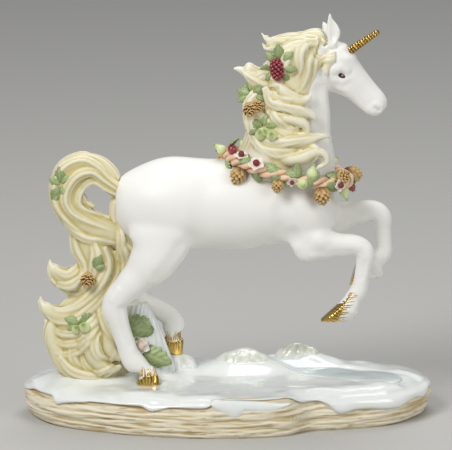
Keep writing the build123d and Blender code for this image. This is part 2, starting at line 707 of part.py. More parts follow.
def tail_point(back_share, down_share, side_share):
    """A place on the tail."""
    return tail_root + Vector(
        -back_share * tail_reach, side_share * tail_thickness / 2, -down_share * tail_drop
    )


stand = [trunk, *legs.values(), *hooves.values(), snow_cap, snow_rise, support_stump]
tail = []
for name, width, thickness, shares in tail_locks:
    rows = {"tail_arch": tail_arch_shares, "tail_drop": tail_drop_shares}.get(name, curl_shares)
    route = smooth_route([tail_point(*row) for row in shares])
    tail.append(finish(name, cast_form(route, rows, width, thickness, lock_sections), [*stand, *tail]))
skirt_route = smooth_route([tail_point(*row) for row in tail_skirt_route_shares])
skirt_form = cast_form(skirt_route, tail_skirt_shares, tail_skirt_width, tail_skirt_thickness, lock_sections)
tail.append(finish("tail_skirt", skirt_form, [*stand, *tail]))
for name, width, thickness, shares in tail_waves:
    route = smooth_route([tail_point(*row) for row in shares])
    tail.append(finish(name, cast_form(route, curl_shares, width, thickness, lock_sections), [*stand, *tail]))

# Garland ring
garland_centre = trunk_point(*garland_seat_shares)
garland_plane = Plane(origin=garland_centre, x_dir=bearing(-garland_tilt), z_dir=bearing(90 - garland_tilt))


def garland_seat(angle):
    """Place, outward and onward directions on the vine's centre line."""
    turn = radians(angle)
    local = Vector(garland_length / 2 * cos(turn), garland_width / 2 * sin(turn))
    outward = Vector(garland_width * cos(turn), garland_length * sin(turn)).normalized()
    place = garland_plane.from_local_coords(local)
    out = garland_plane.from_local_coords(outward) - garland_centre
    return place, out, garland_plane.z_dir.cross(out)


with BuildPart() as vine_form:
    with BuildLine(garland_plane):
        EllipticalCenterArc((0, 0), garland_length / 2, garland_width / 2, arc_size=360)
    place, out, onward = garland_seat(0)
    with BuildSketch(Plane(origin=place, x_dir=out, z_dir=onward)):
        Circle(garland_thickness / 2)
    sweep()
shoulders = [*figure, *mane, legs["foreleg_right"], legs["foreleg_left"]]
garland_vine = finish("garland_vine", vine_form.part, shoulders)

# Sprig patterns, each with its seat on its own first plane
with BuildPart() as leaf_pattern:
    with BuildSketch(Plane.XY):
        with BuildLine():
            ThreePointArc((0, 0), (leaf_length / 2, leaf_width / 2), (leaf_length, 0))
            ThreePointArc((leaf_length, 0), (leaf_length / 2, -leaf_width / 2), (0, 0))
        make_face()
    extrude(amount=leaf_fold + leaf_thickness)
    with BuildSketch(Plane.YZ):
        Polygon(
            (-leaf_width / 2, 0), (0, leaf_fold), (leaf_width / 2, 0),
            (leaf_width / 2, leaf_thickness), (0, leaf_fold + leaf_thickness),
            (-leaf_width / 2, leaf_thickness),
            align=None,
        )
    extrude(amount=leaf_length, mode=Mode.INTERSECT)

with BuildPart() as cone_pattern:
    tier = cone_length / cone_tiers
    for index in range(cone_tiers):
        girth = sin(pi * (index + cone_overlap_share) / cone_tiers + cone_overlap_share) * cone_width / 2
        with BuildSketch(Plane.XY.offset(index * tier)):
            RegularPolygon(abs(girth), cone_scales, rotation=index * 180 / cone_scales)
        extrude(amount=tier * (1 + cone_overlap_share / 2), taper=cone_flare)

with BuildPart() as pear_pattern:
    with BuildSketch(Plane.XZ):
        with BuildLine():
            Spline(
                (0, 0), (pear_width / 2, pear_length * pear_belly_share),
                (pear_width / 4, pear_length * pear_neck_share), (0, pear_length),
                tangents=[(1, 0), (-1, 0)],
            )
            Line((0, pear_length), (0, 0))
        make_face()
    revolve(axis=Axis.Z)

with BuildPart() as berry_pattern:
    with Locations((0, 0, berry_diameter / 2)):
        Sphere(berry_diameter / 2)

with BuildPart() as raspberry_pattern:
    with BuildSketch(Plane.XZ):
        Ellipse(raspberry_width / 2 - drupelet_diameter / 4, raspberry_length / 2 - drupelet_diameter / 4)
        with Locations((-raspberry_width / 2, 0)):
            Rectangle(raspberry_width, raspberry_length, mode=Mode.SUBTRACT)
    revolve(axis=Axis.Z)
    for height_share, ring_share, count in drupelet_ring_shares:
        with Locations((0, 0, height_share * raspberry_length)):
            with PolarLocations(ring_share * raspberry_width / 2, count, 180 + 90 / count, 180):
                Sphere(drupelet_diameter / 2)

with BuildPart() as blossom_pattern:
    petal_radius = petal_length * petal_round_share
    with BuildSketch(Plane.XY):
        Circle(petal_length * petal_notch_share)
        with PolarLocations(petal_length - petal_radius, petal_count):
            Circle(petal_radius)
    extrude(amount=petal_thickness)
    with Locations((0, 0, petal_thickness)):
        Cone(blossom_eye / 2, blossom_eye / 4, blossom_eye / 2)


def sprig_group(label, pattern, planes, neighbours):
    """Copies of one sprig, each placed on a plane and fitted to what carries it, written together."""
    sprigs = []
    for plane in planes:
        sprig = fitted(pattern.part.moved(plane.location), [*neighbours, *sprigs])
        sprig.label = f"{label}_{len(sprigs)}"
        boxes[sprig.label] = sprig.bounding_box()
        sprigs.append(sprig)
    keep(label, Compound(sprigs))
    return sprigs


vine_bed = [garland_vine, *shoulders]
vine_half = garland_thickness / 2
# A folded leaf rides on the vine like a roof on a log
leaf_ride = vine_half * (leaf_fold**2 + (leaf_width / 2) ** 2) ** 0.5 / (leaf_width / 2) - leaf_fold


def vine_planes(angles, lift, hang_share=0.0, lean_share=0.0):
    """Planes outside the vine's centre line, turned down by one share and along the vine by another."""
    planes = []
    for angle in angles:
        place, out, onward = garland_seat(angle)
        axis = (out + Vector(0, 0, -hang_share)).normalized()
        x_dir = (onward + garland_plane.z_dir * lean_share).normalized()
        planes.append(Plane(origin=place + axis * (lift + sprig_clearance), x_dir=x_dir, z_dir=axis))
    return planes


garland = list(vine_bed)
for name, pattern, planes in (
    ("garland_cones", cone_pattern, vine_planes(garland_cone_angles, vine_half, cone_hang_share)),
    ("garland_pears", pear_pattern, vine_planes(garland_pear_angles, vine_half, pear_hang_share)),
    ("garland_berries", berry_pattern, vine_planes(garland_berry_angles, vine_half)),
    ("garland_blossoms", blossom_pattern, vine_planes(garland_blossom_angles, vine_half)),
    ("garland_leaves", leaf_pattern, vine_planes(garland_leaf_angles, leaf_ride, 0.0, leaf_lean_share)),
):
    garland.extend(sprig_group(name, pattern, planes, garland))


def near_surface(carriers, place):
    """How far out on the right side some carriers reach at a place, seen straight across the figure."""
    line = Axis((place.X, rear_side, place.Z), (0, 1, 0))
    reached = [boxes[carrier.label] for carrier in carriers]
    crossed = [
        carrier for carrier, box in zip(carriers, reached)
        if box.min.X <= place.X <= box.max.X and box.min.Z <= place.Z <= box.max.Z
    ]
    hits = [hit.Y for carrier in crossed for hit, _ in carrier.find_intersection_points(line)]
    return min(hits, default=None)


def spray_planes(carriers, places, foot_shares, length, width, fold=0.0):
    """Planes that face the right side, turned as each place says and just clear of the carriers under the
    foot, whose middle is raised by a fold."""
    planes = []
    for place, turn in places:
        feet = [
            place + bearing(turn) * (along * length) + bearing(turn + 90) * (across * width)
            for along, across in foot_shares
        ]
        reaches = []
        for foot, (_, across) in zip(feet, foot_shares):
            reach = near_surface(carriers, foot)
            if reach is not None:
                reaches.append(reach + fold * (1 - 2 * abs(across)))
        origin = Vector(place.X, min(reaches) - sprig_clearance, place.Z)
        planes.append(Plane(origin=origin, x_dir=bearing(turn), z_dir=(0, -1, 0)))
    return planes


def hair_spray(prefix, carriers, bed, locate, leaf_shares, cone_shares, pear_shares):
    """Cones, fruit and leaves laid on the mane or the tail."""
    group = []
    for kind, pattern, shares in (("cones", cone_pattern, cone_shares), ("pears", pear_pattern, pear_shares)):
        places = [(locate(back, down, 0.0), 0.0) for back, down in shares]
        planes = spray_planes(carriers, places, seat_foot_shares, pear_width, pear_width)
        group.extend(sprig_group(f"{prefix}_{kind}", pattern, planes, [*bed, *group]))
    places = [(locate(back, down, 0.0), turn) for back, down, turn in leaf_shares]
    planes = spray_planes(carriers, places, leaf_foot_shares, leaf_length, leaf_width, leaf_fold)
    sprig_group(f"{prefix}_leaves", leaf_pattern, planes, [*bed, *group])


raspberry_place = mane_point(*mane_raspberry_share, 0.0)
raspberry_side = near_surface([*mane, neck], raspberry_place) + raspberry_sink - raspberry_width / 2
raspberry_plane = Plane(origin=(raspberry_place.X, raspberry_side, raspberry_place.Z), z_dir=(0, 0, 1))
mane_raspberry = sprig_group("mane_raspberry", raspberry_pattern, [raspberry_plane], [*mane, *figure])
hair_spray("mane", [*mane, neck], [*mane, *figure, *mane_raspberry], mane_point, mane_leaf_shares,
           mane_cone_shares, mane_pear_shares)
hair_spray("tail", tail, [*tail, *stand], tail_point, tail_leaf_shares, [tail_cone_share], tail_pear_shares)


def stump_place(rise_share, across_share):
    """A place on the stump's right face."""
    return stump_foot + Vector(
        -stump_lean * rise_share + across_share * stump_length / 2, 0, rise_share * stump_rise
    )


stump_bed = [support_stump, snow_rise, snow_cap, *legs.values(), *hooves.values(), *tail]
blossom_places = [(stump_place(*stump_blossom_share), 0.0)]
blossom_planes = spray_planes([support_stump], blossom_places, seat_foot_shares, petal_length, petal_length)
stump_blossom = sprig_group("stump_blossom", blossom_pattern, blossom_planes, stump_bed)
leaf_places = [(stump_place(rise, across), turn) for rise, across, turn in stump_leaf_shares]
leaf_planes = spray_planes([support_stump], leaf_places, leaf_foot_shares, leaf_length, leaf_width, leaf_fold)
sprig_group("stump_leaves", leaf_pattern, leaf_planes, [*stump_bed, *stump_blossom])
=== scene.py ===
"""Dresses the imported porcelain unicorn: its skin, modelled hair, gilding, garland, snow and the studio round it."""

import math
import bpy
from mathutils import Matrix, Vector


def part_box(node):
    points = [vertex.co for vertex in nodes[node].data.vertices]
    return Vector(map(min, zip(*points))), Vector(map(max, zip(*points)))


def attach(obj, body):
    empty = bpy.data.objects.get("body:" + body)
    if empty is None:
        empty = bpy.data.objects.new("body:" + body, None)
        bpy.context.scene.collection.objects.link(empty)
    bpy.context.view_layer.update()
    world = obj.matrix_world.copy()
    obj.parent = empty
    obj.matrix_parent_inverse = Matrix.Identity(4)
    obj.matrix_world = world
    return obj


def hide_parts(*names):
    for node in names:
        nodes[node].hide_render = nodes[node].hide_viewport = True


bl_info = {
    "name": "Porcelain unicorn",
    "version": (1, 0, 0),
    "blender": (4, 5, 0),
    "location": "View3D > Sidebar > Figurine",
    "description": "Models and paints the surfaces of a porcelain unicorn over its packed parts",
    "category": "Object",
}

import bmesh
import bpy
import numpy as np
from mathutils import Vector, noise
from mathutils.bvhtree import BVHTree

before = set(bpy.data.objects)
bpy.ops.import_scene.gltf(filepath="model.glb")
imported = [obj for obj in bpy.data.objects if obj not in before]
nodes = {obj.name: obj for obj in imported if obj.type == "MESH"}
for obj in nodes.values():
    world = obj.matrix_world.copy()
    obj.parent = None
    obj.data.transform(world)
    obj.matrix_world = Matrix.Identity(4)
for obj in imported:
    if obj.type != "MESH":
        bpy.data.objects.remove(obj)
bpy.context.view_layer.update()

# All shapes are worked out in millimetres and written in metres.
MM = 0.001
# The photograph: millimetres in a pixel, the pixel over the origin, its size, and how far its camera looks down
PIXEL = 0.51
ORIGIN_PIXEL = (228.0, 418.0)
PHOTO_SIZE = (452, 450)
ELEVATION = math.radians(14)
VIEW = np.array([0.0, math.cos(ELEVATION), -math.sin(ELEVATION)])
CAMERA_DISTANCE = 3200.0
FAR = 300.0
FACING = np.array([0.0, -1.0, 0.0])


def linear(hex_colour):
    """Linear colour from an sRGB hex value."""
    channels = [int(hex_colour[start:start + 2], 16) / 255 for start in (1, 3, 5)]
    return tuple(c / 12.92 if c <= 0.04045 else ((c + 0.055) / 1.055) ** 2.4 for c in channels)


def colour(label, text, hex_colour):
    """A colour that a user can change."""
    return bpy.props.FloatVectorProperty(
        name=label, description=text, subtype="COLOR", size=3, min=0.0, max=1.0, default=linear(hex_colour)
    )


def length(label, text, millimetres):
    """A length that a user can change."""
    return bpy.props.FloatProperty(
        name=label, description=text, unit="LENGTH", subtype="DISTANCE", min=0.0, default=millimetres * MM
    )


class FigurineSizes(bpy.types.PropertyGroup):
    """Sizes of the sprigs, the vine and the gold hairs"""

    leaf: length("Leaf length", "Length of an applied leaf", 10.5)
    cone: length("Cone width", "Width of an applied cone", 8.0)
    pear: length("Pear width", "Width of an applied pear", 5.2)
    berry: length("Berry width", "Width of an applied berry", 4.4)
    vine: length("Vine thickness", "Thickness of the garland's twisted vine", 6.4)
    stroke: length("Gilding stroke", "Width of a painted gold hair over a hoof", 0.62)


class FigurineColours(bpy.types.PropertyGroup):
    """Colours of the clays, glazes and enamels"""

    bisque: colour("Bisque", "Unglazed white porcelain", "#EFEEE9")
    # Grey-beige of the nostrils, mouth and ear hollows: a tinted colour that is partly painted shade
    blush: colour("Blush", "Tint in the nostrils, mouth and ears", "#C6B9A2")
    ivory: colour("Ivory", "Sides of the modelled hair", "#DFD7B3")
    straw: colour("Straw", "Hollows of the modelled hair", "#C7BA80")
    gold: colour("Gold", "Burnished gilding", "#D8B765")
    snow: colour("Snow", "Glazed snow", "#EBEEEA")
    shade: colour("Snow shade", "Hollows of the glazed snow", "#C9D2D0")
    ice: colour("Ice", "Glazed stream", "#D2DBDA")
    stone: colour("Stone", "Ledge side", "#E8DEC2")
    streak: colour("Streak", "Strata lines of the ledge", "#C4AF7C")
    leaf: colour("Leaf", "Leaf enamel", "#A9B983")
    # The darker centre of a leaf, which also serves as painted shade in its folds
    dark_leaf: colour("Dark leaf", "Hollows of a leaf", "#75864F")
    cone: colour("Cone", "Cone scales", "#C4A066")
    # Painted shadow between the cone scales
    cone_shadow: colour("Cone shadow", "Between the cone scales", "#714C20")
    pear: colour("Pear", "Pear enamel", "#CDDA97")
    berry: colour("Berry", "Berry enamel", "#7E212B")
    vine: colour("Vine", "Vine enamel", "#E0B894")
    blossom: colour("Blossom", "Petal enamel", "#F2E3D4")
    eye: colour("Eye", "Painted eye", "#4A1A1C")


# Placing


def height_at(py, side):
    """How high a place lies under a row of the photograph's pixels at a distance to the side."""
    return ((ORIGIN_PIXEL[1] - py) * PIXEL - math.sin(ELEVATION) * side) / math.cos(ELEVATION)


def column_at(along):
    """The column of the photograph's pixels over a place along the figure."""
    return ORIGIN_PIXEL[0] + along / PIXEL


def photo_point(px, py, side=0.0):
    """The place under a pixel of the photograph at a distance to the side."""
    return np.array([(px - ORIGIN_PIXEL[0]) * PIXEL, side, height_at(py, side)])


def pixels_of(points):
    """Pixels of the photograph, across and down, that lie over some points."""
    points = np.asarray(points, float)
    rise = points[:, 2] * math.cos(ELEVATION) + points[:, 1] * math.sin(ELEVATION)
    return column_at(points[:, 0]), ORIGIN_PIXEL[1] - rise / PIXEL


def unit(vectors):
    """Vectors of length one."""
    vectors = np.asarray(vectors, float)
    return vectors / np.maximum(np.linalg.norm(vectors, axis=-1, keepdims=True), 1e-9)


def square_to(axis, hint):
    """Two ways across an axis, square to each other; the hint settles which."""
    across = unit(np.cross(axis, hint))
    return across, np.cross(axis, across)


def eased(value, low, high):
    """A smooth step from nought to one between two values."""
    share = np.clip((np.asarray(value, float) - low) / (high - low), 0.0, 1.0)
    return share * share * (3 - 2 * share)


def rough(points, size):
    """Smooth noise at some points, with lumps of a size in millimetres."""
    return np.array([noise.noise(Vector(point) / size) for point in points])


def even_curve(points, count):
    """Points spread evenly along a smooth curve through some others."""
    points = np.asarray(points, float)
    padded = np.vstack([2 * points[0] - points[1], points, 2 * points[-1] - points[-2]])
    fine = []
    for a, b, c, d in zip(padded, padded[1:], padded[2:], padded[3:]):
        for t in np.linspace(0, 1, 12, endpoint=False):
            fine.append(0.5 * (
                2 * b + (c - a) * t + (2 * a - 5 * b + 4 * c - d) * t**2 + (3 * b - 3 * c + d - a) * t**3
            ))
    fine = np.array(fine + [points[-1]])
    run = np.concatenate([[0], np.cumsum(np.linalg.norm(np.diff(fine, axis=0), axis=1))])
    even = np.linspace(0, run[-1], count)
    return np.column_stack([np.interp(even, run, fine[:, axis]) for axis in range(fine.shape[1])])


def gaps_filled(values):
    """Values along a path, with missing ones filled from their neighbours."""
    order, met = np.arange(len(values)), ~np.isnan(values)
    return np.interp(order, order[met], values[met]) if met.any() else np.zeros(len(values))


def run_smooth(values):
    """Values along a path, each evened out with its neighbours."""
    return np.convolve(np.pad(values, 3, mode="edge"), np.ones(7) / 7, mode="valid")


def search_tree(meshes):
    """A search tree over some meshes, in millimetres."""
    points, faces = [], []
    for mesh in meshes:
        start = len(points)
        points += [vertex.co / MM for vertex in mesh.vertices]
        faces += [[start + index for index in face.vertices] for face in mesh.polygons]
    return BVHTree.FromPolygons(points, faces)


def part_tree(*names):
    """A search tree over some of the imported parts."""
    return search_tree([nodes[name].data for name in names])


def piece_tree(name):
    """A search tree over a piece that is already made."""
    return search_tree([bpy.data.objects[name].data])


def packed_box(name):
    """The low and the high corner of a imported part, in millimetres."""
    return (np.array(corner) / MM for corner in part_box(name))


def size_of(name):
    """One of the sizes in use, in millimetres."""
    return getattr(bpy.context.scene.figurine_sizes, name) / MM


def seat_at(tree, px, py):
    """Where the photograph's line of sight meets a surface, and which way the surface faces."""
    place, facing, _, _ = tree.ray_cast(Vector(photo_point(px, py, -FAR)), Vector(VIEW))
    if place is None:
        place, facing, _, _ = tree.find_nearest(Vector(photo_point(px, py)))
    return np.array(place), unit(np.array(facing) + FACING)


# Building


class Shell:
    """Points, faces and painted values of one piece."""

    def __init__(self):
        self.points, self.faces, self.paint, self.tone = [], [], [], []

    def add(self, points, faces, paint=0.0, tone=0.0):
        """Add some points and the faces between them."""
        start, points = len(self.points), np.asarray(points, float).reshape(-1, 3)
        self.points.extend(points)
        self.faces.extend(tuple(start + index for index in face) for face in faces)
        self.paint.extend(np.broadcast_to(np.asarray(paint, float).ravel(), len(points)))
        self.tone.extend(np.broadcast_to(np.asarray(tone, float).ravel(), len(points)))

    def tube(self, rings, paint=0.0, tone=0.0):
        """Add a closed skin over rings of points."""
        count, around = rings.shape[:2]
        faces = [
            (row * around + column, row * around + (column + 1) % around,
             (row + 1) * around + (column + 1) % around, (row + 1) * around + column)
            for row in range(count - 1) for column in range(around)
        ]
        faces.append(tuple(range(around))[::-1])
        faces.append(tuple((count - 1) * around + column for column in range(around)))
        self.add(rings, faces, paint, tone)

    def slab(self, grid, down, paint=0.0, tone=0.0):
        """Add a closed sheet: a grid of points and the same grid moved down."""
        rows, columns = grid.shape[:2]
        size = rows * columns
        quads = [
            (row * columns + column, row * columns + column + 1,
             (row + 1) * columns + column + 1, (row + 1) * columns + column)
            for row in range(rows - 1) for column in range(columns - 1)
        ]
        rim = [*range(columns), *(row * columns + columns - 1 for row in range(1, rows))]
        rim += [*range(size - 2, size - columns - 1, -1), *(row * columns for row in range(rows - 2, 0, -1))]
        walls = [(a, a + size, b + size, b) for a, b in zip(rim, rim[1:] + rim[:1])]
        faces = quads + [tuple(size + index for index in quad[::-1]) for quad in quads] + walls
        paint = np.broadcast_to(np.asarray(paint, float).ravel(), size)
        self.add(np.concatenate([grid.reshape(-1, 3), (grid + down).reshape(-1, 3)]), faces, np.tile(paint, 2), tone)

    def lathe(self, seat, axis, profile, around, paint=0.0, tone=0.0):
        """Add a turned form: profile rows are radius and height along the axis."""
        axis = unit(axis)
        across, other = square_to(axis, [0.31, 0.52, 0.8])
        turns = np.linspace(0, 2 * np.pi, around, endpoint=False)
        ring = np.cos(turns)[:, None] * across + np.sin(turns)[:, None] * other
        profile = np.asarray(profile, float)
        rings = seat + profile[:, 1, None, None] * axis + np.maximum(profile[:, 0], 0.01)[:, None, None] * ring
        values = np.asarray(paint, float)
        self.tube(rings, np.repeat(values, around) if values.ndim else values, tone)

    def make(self, name, surface, replaced=()):
        """Turn the shell into a piece with one of the finishes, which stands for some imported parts."""
        mesh = bpy.data.meshes.new(name)
        mesh.from_pydata((np.array(self.points) * MM).tolist(), [], self.faces)
        shape = bmesh.new()
        shape.from_mesh(mesh)
        bmesh.ops.recalc_face_normals(shape, faces=shape.faces)
        shape.to_mesh(mesh)
        shape.free()
        for key, values in (("paint", self.paint), ("tone", self.tone)):
            mesh.attributes.new(key, "FLOAT", "POINT").data.foreach_set("value", np.array(values, np.float32))
        mesh.materials.append(finish(surface))
        mesh.shade_smooth()
        piece = bpy.data.objects.new(name, mesh)
        bpy.context.scene.collection.objects.link(piece)
        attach(piece, "root")
        if replaced:
            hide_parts(*replaced)


class Skin:
    """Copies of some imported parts, swollen by a distance and run together into one even skin of small cells, which is
    relaxed for some rounds and can then be modelled."""

    def __init__(self, names, cell, swell, rounds, extra=None):
        run = bmesh.new()
        if extra:
            added = bpy.data.meshes.new("added")
            added.from_pydata((np.array(extra.points) * MM).tolist(), [], extra.faces)
            run.from_mesh(added)
            bpy.data.meshes.remove(added)
            bmesh.ops.recalc_face_normals(run, faces=run.faces)
        for name in names:
            part, swollen = bmesh.new(), bpy.data.meshes.new("swollen")
            part.from_mesh(nodes[name].data)
            bmesh.ops.remove_doubles(part, verts=part.verts, dist=1e-6)
            bmesh.ops.recalc_face_normals(part, faces=part.faces)
            part.normal_update()
            for vertex, outward in [(vertex, vertex.normal.copy()) for vertex in part.verts]:
                vertex.co += outward * swell * MM
            part.to_mesh(swollen)
            run.from_mesh(swollen)
            part.free()
            bpy.data.meshes.remove(swollen)
        rough_mesh = bpy.data.meshes.new("run")
        run.to_mesh(rough_mesh)
        run.free()
        blank = bpy.data.objects.new("run", rough_mesh)
        bpy.context.scene.collection.objects.link(blank)
        remesh = blank.modifiers.new("skin", "REMESH")
        remesh.mode = "VOXEL"
        remesh.voxel_size = cell * MM
        mesh = bpy.data.meshes.new_from_object(blank.evaluated_get(bpy.context.evaluated_depsgraph_get()))
        self.points = np.array([vertex.co for vertex in mesh.vertices]) / MM
        self.faces = [tuple(face.vertices) for face in mesh.polygons]
        self.edges = np.array([tuple(edge.vertices) for edge in mesh.edges])
        self.paint = np.zeros(len(self.points))
        bpy.data.objects.remove(blank)
        bpy.data.meshes.remove(rough_mesh)
        bpy.data.meshes.remove(mesh)
        self.relax(rounds)

    def evened(self, values, rounds, weight=1.0):
        """Values at the points, evened out between neighbours, fully or by a weight at each point."""
        low, high = self.edges.T
        count = np.maximum(np.bincount(self.edges.ravel(), minlength=len(self.points)), 1)[:, None]
        weight = np.broadcast_to(np.asarray(weight, float), len(self.points))[:, None]
        values = values.copy()
        for _ in range(rounds):
            total = np.column_stack([
                np.bincount(low, row[high], len(values)) + np.bincount(high, row[low], len(values)) for row in values.T
            ])
            values += 0.5 * weight * (total / count - values)
        return values

    def relax(self, rounds, weight=1.0):
        """Even the skin out, fully or by a weight at each point."""
        self.points = self.evened(self.points, rounds, weight)

    def hollows(self, rounds):
        """How deep each point lies in a hollow, in millimetres."""
        depth = np.sum((self.evened(self.points, rounds) - self.points) * self.normals(), axis=1)
        return self.evened(depth[:, None], 2)[:, 0]

    def normals(self):
        """Which way the skin faces at each point."""
        total = np.zeros_like(self.points)
        quads = np.array([face if len(face) == 4 else (*face, face[-1]) for face in self.faces])
        a, b, c, d = (self.points[quads[:, corner]] for corner in range(4))
        facing = np.cross(c - a, d - b)
        for corner in range(4):
            np.add.at(total, quads[:, corner], facing)
        return unit(total)

    def stroke(self, path, radius, height, recess_shade_tint=0.0):
        """Raise the skin along a path of points, or press it in, and darken its colour there towards a grey-beige that
        is partly painted shade.
        """
        path = np.asarray(path, float).reshape(-1, 3)
        near = np.full(len(self.points), np.inf)
        for start, end in zip(path, path[1:] if len(path) > 1 else path):
            along = end - start
            share = np.clip((self.points - start) @ along / max(along @ along, 1e-9), 0, 1)
            near = np.minimum(near, np.linalg.norm(self.points - start - share[:, None] * along, axis=1))
        fall = np.clip(1 - (near / radius) ** 2, 0, 1) ** 2
        self.points += self.normals() * (height * fall)[:, None]
        self.paint = np.maximum(self.paint, recess_shade_tint * fall)

    def tree(self):
        """A search tree over the skin."""
        return BVHTree.FromPolygons([Vector(point) for point in self.points], self.faces)

    def shell(self):
        """The skin as a shell."""
        shell = Shell()
        shell.add(self.points, self.faces, self.paint)
        return shell


# Finishes


def add_node(tree, kind, settings=None, inputs=None):
    """Add a node, set it up, and set or link its inputs."""
    node = tree.nodes.new(kind)
    for key, value in (settings or {}).items():
        setattr(node, key, value)
    for key, value in (inputs or {}).items():
        if isinstance(value, bpy.types.NodeSocket):
            tree.links.new(value, node.inputs[key])
        else:
            node.inputs[key].default_value = value
    return node


# Finishes, named for the material and how its surface was made: the material slot, stops along the painted value with
# the name of a colour or a hex value, roughness, mottle and grain in millimetres and strength, and what else it takes
FINISHES = {
    # Cast, sponged smooth and fired once without glaze, so it is soft, matte and faintly warm; its grey-beige end is
    # painted shade in the nostrils, mouth and ear hollows as well as a tinted colour
    "bisque porcelain": (
        "white_bisque", ((0.0, "bisque"), (0.25, "bisque"), (1.0, "blush")), 0.52, (9.0, 0.05), (0.9, 0.03), {},
    ),
    # Washed with straw yellow and wiped, so the colour stays in the hollows of the hair; the darkest end is also
    # painted shade in the deep hollows, and the palest end a painted highlight on the crests
    "ivory bisque": (
        "ivory_bisque", ((0.0, "#ECE8D8"), (0.4, "ivory"), (0.72, "straw"), (1.0, "#AD9C5D")), 0.5, (14.0, 0.16),
        (0.8, 0.03), {},
    ),
    # Bright gold fired over glaze: a true metal film, mirror-like with a soft brushed bloom; its dark end is painted
    # shade in the troughs of the horn's ribs and in the hooves' grooves
    "burnished gold": (
        "burnished_gold", ((0.0, "gold"), (1.0, "#6B4E17")), 0.17, (2.0, 0.12), (1.4, 0.12), {"metallic": 1.0},
    ),
    # White porcelain under a thick clear glaze, which pools in the hollows and shines like wet snow; its shade end is
    # painted shade between the lumps, down the drips and in the stump's flutes, and a grey-blue tint round the stream
    "snow glaze": (
        "snow_glaze", ((0.0, "snow"), (0.4, "snow"), (1.0, "shade")), 0.14, (10.0, 0.16), (6.0, 0.25), {"coat": 0.6},
    ),
    # Clear glaze over grey-green stained clay under thin snow: white on the crests, stone in the clefts, with painted
    # shade in the clefts and over the rear boulder, which stands in shadow
    "frosted stone": (
        "snow_glaze", ((0.0, "snow"), (0.35, "#D2D4C7"), (1.0, "#9CA08D")), 0.2, (6.0, 0.16), (4.0, 0.2), {"coat": 0.5},
    ),
    # A pool of grey-blue tinted glaze, glassy and darker where it is deep
    "ice glaze": (
        "ice_glaze", ((0.0, "snow"), (0.35, "ice"), (1.0, "#BAC7C8")), 0.06, (12.0, 0.18), (5.0, 0.3), {"coat": 0.8},
    ),
    # Unglazed clay combed into layers, with brown stain wiped off the crests so that it stays in the lines
    "strata bisque": (
        "stone_bisque", ((0.0, "#EAE1CB"), (0.45, "stone"), (0.75, "#C9B486"), (1.0, "streak")), 0.62, (9.0, 0.28),
        (1.1, 0.12), {"shade": "#957540", "stretch": 5.0},
    ),
    # Matte sage enamel on hand-pressed leaves, darker at the centre: dark in the folds and between the veins as painted
    # shade, pale on the raised veins
    "leaf enamel": (
        "leaf_enamel", ((0.0, "dark_leaf"), (0.45, "leaf"), (1.0, "#CFD9B2")), 0.45, (3.0, 0.25), (0.7, 0.05),
        {"shade": "#5C6E3A"},
    ),
    # Brown stain over pressed scales, rubbed back to tan on their tips, with painted shadow on the core and at the
    # roots of the scales
    "cone enamel": (
        "cone_enamel", ((0.0, "cone_shadow"), (0.55, "cone"), (1.0, "#DFC48E")), 0.5, (2.0, 0.2), (0.6, 0.05), {},
    ),
    # Thin lime enamel over white clay, paler where the fruit bulges and greener at its ends
    "fruit enamel": (
        "fruit_enamel", ((0.0, "#E6ECC0"), (0.5, "pear"), (1.0, "#9DB868")), 0.38, (3.0, 0.2), (0.8, 0.03), {},
    ),
    # Deep red gloss enamel, with painted shade at the roots of the beads and the ends of the berries and a painted
    # highlight on each bead
    "berry enamel": (
        "berry_enamel", ((0.0, "#3A0D11"), (0.5, "berry"), (1.0, "#B5545A")), 0.2, (1.5, 0.15), (0.8, 0.03),
        {"coat": 0.4},
    ),
    # Pale brushed petals with a blush at the heart
    "blossom enamel": (
        "blossom_enamel", ((0.0, "#D98C6E"), (0.35, "blossom"), (1.0, "#F6F0E6")), 0.45, (2.5, 0.15), (0.7, 0.03),
        {"shade": "berry"},
    ),
    # Peach stain over twisted clay rope, brown in the twist as painted shade where the strands turn in towards each
    # other
    "vine enamel": (
        "vine_enamel", ((0.0, "#A9703F"), (0.4, "vine"), (1.0, "#EFCFB2")), 0.5, (2.5, 0.3), (0.8, 0.06), {},
    ),
    # Glossy painted eye: near black pupil in a brown ring, with a white point of light
    "eye enamel": (
        "white_bisque", ((0.0, "#140709"), (0.4, "eye"), (0.75, "#7A3432"), (0.9, "#F5F2EE")), 0.12, (1.0, 0.02),
        (0.6, 0.01), {"coat": 0.6},
    ),
}


def solid_colour(key):
    """An opaque linear colour: one that a user can change, or a hex value."""
    return (*(linear(key) if key.startswith("#") else getattr(bpy.context.scene.figurine_colours, key)), 1.0)


